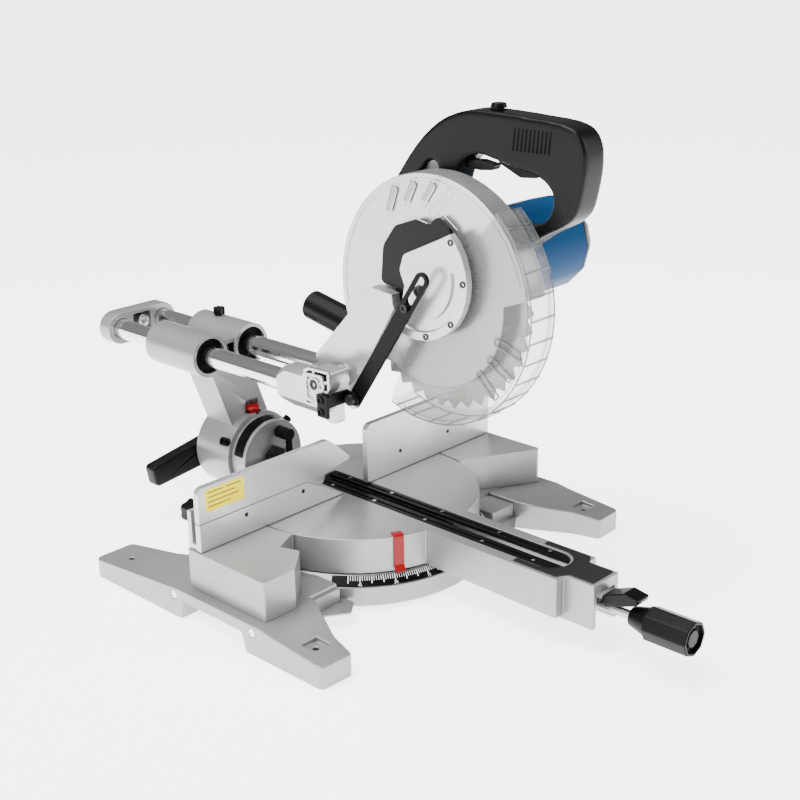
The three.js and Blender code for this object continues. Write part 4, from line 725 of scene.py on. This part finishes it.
GUARD_SLOTS = [clipped(start, end) for start, end in GUARD_SLOTS]
inlays = []
for start, end in GUARD_SLOTS:
    a = (start[0], start[1] + TABLE)
    b = (end[0], end[1] + TABLE)
    raised = slab("slot rim", slot_strip(a, b, 5.4), -18.2, GUARD_FACE, "side", guard_silver, 0.5, 2)
    cut_away(raised, slab("slot cut", slot_strip(a, b, 3.4), -20, -16, "side", guard_silver))
    inlays.append(raised)
settle(joined("guard_slot_rims", inlays), "head", "cast_alu")
# The first three slot floors are painted shade: they take the darker silver paint instead of the guard's
# brighter silver.
floors = []
for start, end in GUARD_SLOTS[:3]:
    strip = slot_strip((start[0], start[1] + TABLE), (end[0], end[1] + TABLE), 3.4)
    floors.append(slab("slot floor", strip, -17.7, -17.3, "side", silver_paint))
settle(joined("guard_slot_painted_shade_floors", floors), "head", "cast_alu")
PLATE_EDGE = [(0.5, 252, 2), (-8, 256, 2), (-40.5, 257, 3), (-40.5, 237, 4), (-25, 211, 3), (-1, 211, 2)]
# The black sheet behind the rib cells is painted shade: the pockets of the cast plate are aluminium and look
# dark only from shade.
plate_pocket_shade = slab("side plate painted shade", PLATE_EDGE, -79.6, -79.0, "side", soft_black)
plate_ribs = slab("side plate ribs", PLATE_EDGE, -81.4, -79.5, "side", guard_silver)
CELLS = [[(-3, 250), (-9, 253), (-14, 253.5), (-14, 246), (-8, 242), (-3, 242)],
         [(-17, 253.6), (-37.5, 254), (-37.5, 246), (-24, 242), (-17, 246)],
         [(-37.5, 243), (-25, 239), (-25, 234), (-37.5, 234)],
         [(-36.5, 231), (-24, 231), (-19, 226), (-19, 222), (-30, 222)],
         [(-28, 219), (-19, 219), (-13, 214), (-24.5, 214)],
         [(-3, 239), (-8, 238), (-8, 231), (-15, 226), (-15, 221), (-10, 214), (-3, 214)]]
cut_away(plate_ribs, *[slab("cell", cell, -84, -78, "side", guard_silver) for cell in CELLS])
bevelled(plate_ribs, 0.35, 2, 50)
settle(joined("side_plate_ribs_and_painted_shade", [plate_pocket_shade, plate_ribs]), "carriage", "cast_alu")
screws("side_plate_bolt", [(-81.0, -16, 237)], LEFT, 5.4, 3.2, dark_steel, "carriage", "dark_steel")
screws("head_arm_bolts", [(-18.2, -72, 300), (-18.2, -45, 276)], LEFT, 5.2, 3, dark_steel, "head",
       "dark_steel")
rim_line = arc_strip("guard rim line", ARBOR, -12, 166, 125.4, 127.0, -18.2, GUARD_FACE,
                     guard_silver, 48)
RECESS = [(-73, 274), (-76, 300), (-81, 320), (-94, 336), (-116, 346), (-130, 343), (-138, 344),
          (-154, 355), (-172, 342)]
recess_edge = [bar("recess edge", (-17.0, y0, z0 + TABLE), (-17.0, y1, z1 + TABLE), 1.2, guard_silver, 12)
               for (y0, z0), (y1, z1) in zip(RECESS, RECESS[1:])]
settle(joined("guard_edge_trim", [rim_line, *recess_edge]), "head", "cast_alu")
plate_arc = arc_strip("cover_plate_arc", (ARBOR_Y, PLATE_Z), 168, 246, 45.5, 48.5, -38.9, -37.9, milled)
settle(plate_arc, "head", "machined_alu")
screws("arbor_cover_bolt", [(-38.2, ARBOR_Y - 2, ARBOR_Z + 11)], LEFT, 5.6, 2.6, dark_steel, "head",
       "dark_steel")
screws("guard_link_pin", [(-54.5, ARBOR_Y + 3, ARBOR_Z - 5)], LEFT, 4.6, 2.4, dark_steel, "head",
       "dark_steel")
SEAT_Y = 188
button_seat = bar("button seat", (0, SEAT_Y, 134.2), (0, SEAT_Y, 150), 10.5, silver_paint, 32)
cut_away(shaped["tilt_casting"], button_seat)
print("label and", len(GUARD_SLOTS), "slots")

# %% [markdown]
# ## The light, the floor and the camera
# Product light is broad and soft: one large panel above, one at each side, a wide sun for the ceiling, and
# a pale floor that glows a little. The camera stands in front and to the left, a little above the saw.

# %% Floor, lights, camera
def add_floor():
    bpy.ops.object.select_all(action="DESELECT")
    bpy.ops.mesh.primitive_plane_add(size=30, location=(0, 0, -0.0002))
    floor = bpy.context.object
    floor.name = "floor"
    paper = finish("white paper", (0.93, 0.93, 0.93), 0.0, 0.85, 0.02, 60, 0.0, 0.003, Emission_Strength=3.0,
                   Emission_Color=(1, 1, 1, 1))
    floor.data.materials.append(paper)
    return floor


def add_panel(name, where, size, power, aim=(0, -0.05, 0.2)):
    lamp = bpy.data.lights.new(name, "AREA")
    lamp.shape = "RECTANGLE"
    lamp.size, lamp.size_y = size
    lamp.energy = power
    holder = bpy.data.objects.new(name, lamp)
    scene.collection.objects.link(holder)
    holder.location = where
    holder.rotation_euler = (Vector(aim) - Vector(where)).to_track_quat("-Z", "Y").to_euler()
    return holder


add_floor()
add_panel("top panel", (-0.1, 0.2, 2.2), (1.9, 1.5), 62)
add_panel("left panel", (-2.4, 0.3, 1.1), (0.9, 1.7), 34)
add_panel("right panel", (1.6, -1.9, 1.3), (0.9, 1.5), 26)
sun = bpy.data.lights.new("ceiling", "SUN")
sun.energy = 4.4
sun.angle = radians(45)
ceiling = bpy.data.objects.new("ceiling", sun)
scene.collection.objects.link(ceiling)
ceiling.rotation_euler = (radians(-10), radians(-30), 0)
sky = bpy.data.worlds.new("studio")
sky.use_nodes = True
sky.node_tree.nodes["Background"].inputs["Color"].default_value = (1, 1, 1, 1)
sky.node_tree.nodes["Background"].inputs["Strength"].default_value = 0.25
scene.world = sky

azimuth, elevation, roll = radians(-46.475), radians(19.815), radians(-0.865)
back = Vector((sin(azimuth) * cos(elevation), -cos(azimuth) * cos(elevation), sin(elevation)))
across = Vector((cos(azimuth), sin(azimuth), 0))
above = back.cross(across)
right = cos(roll) * across + sin(roll) * above
up = -sin(roll) * across + cos(roll) * above
eye = bpy.data.cameras.new("camera")
eye.sensor_width = 36
eye.lens = 62.69
camera = bpy.data.objects.new("camera", eye)
scene.collection.objects.link(camera)
CAMERA_AT = (-1.0795, -1.0961, 0.7466)
camera.matrix_world = Matrix.Translation(CAMERA_AT) @ Matrix((right, up, back)).transposed().to_4x4()
scene.camera = camera
print("camera lens", eye.lens)
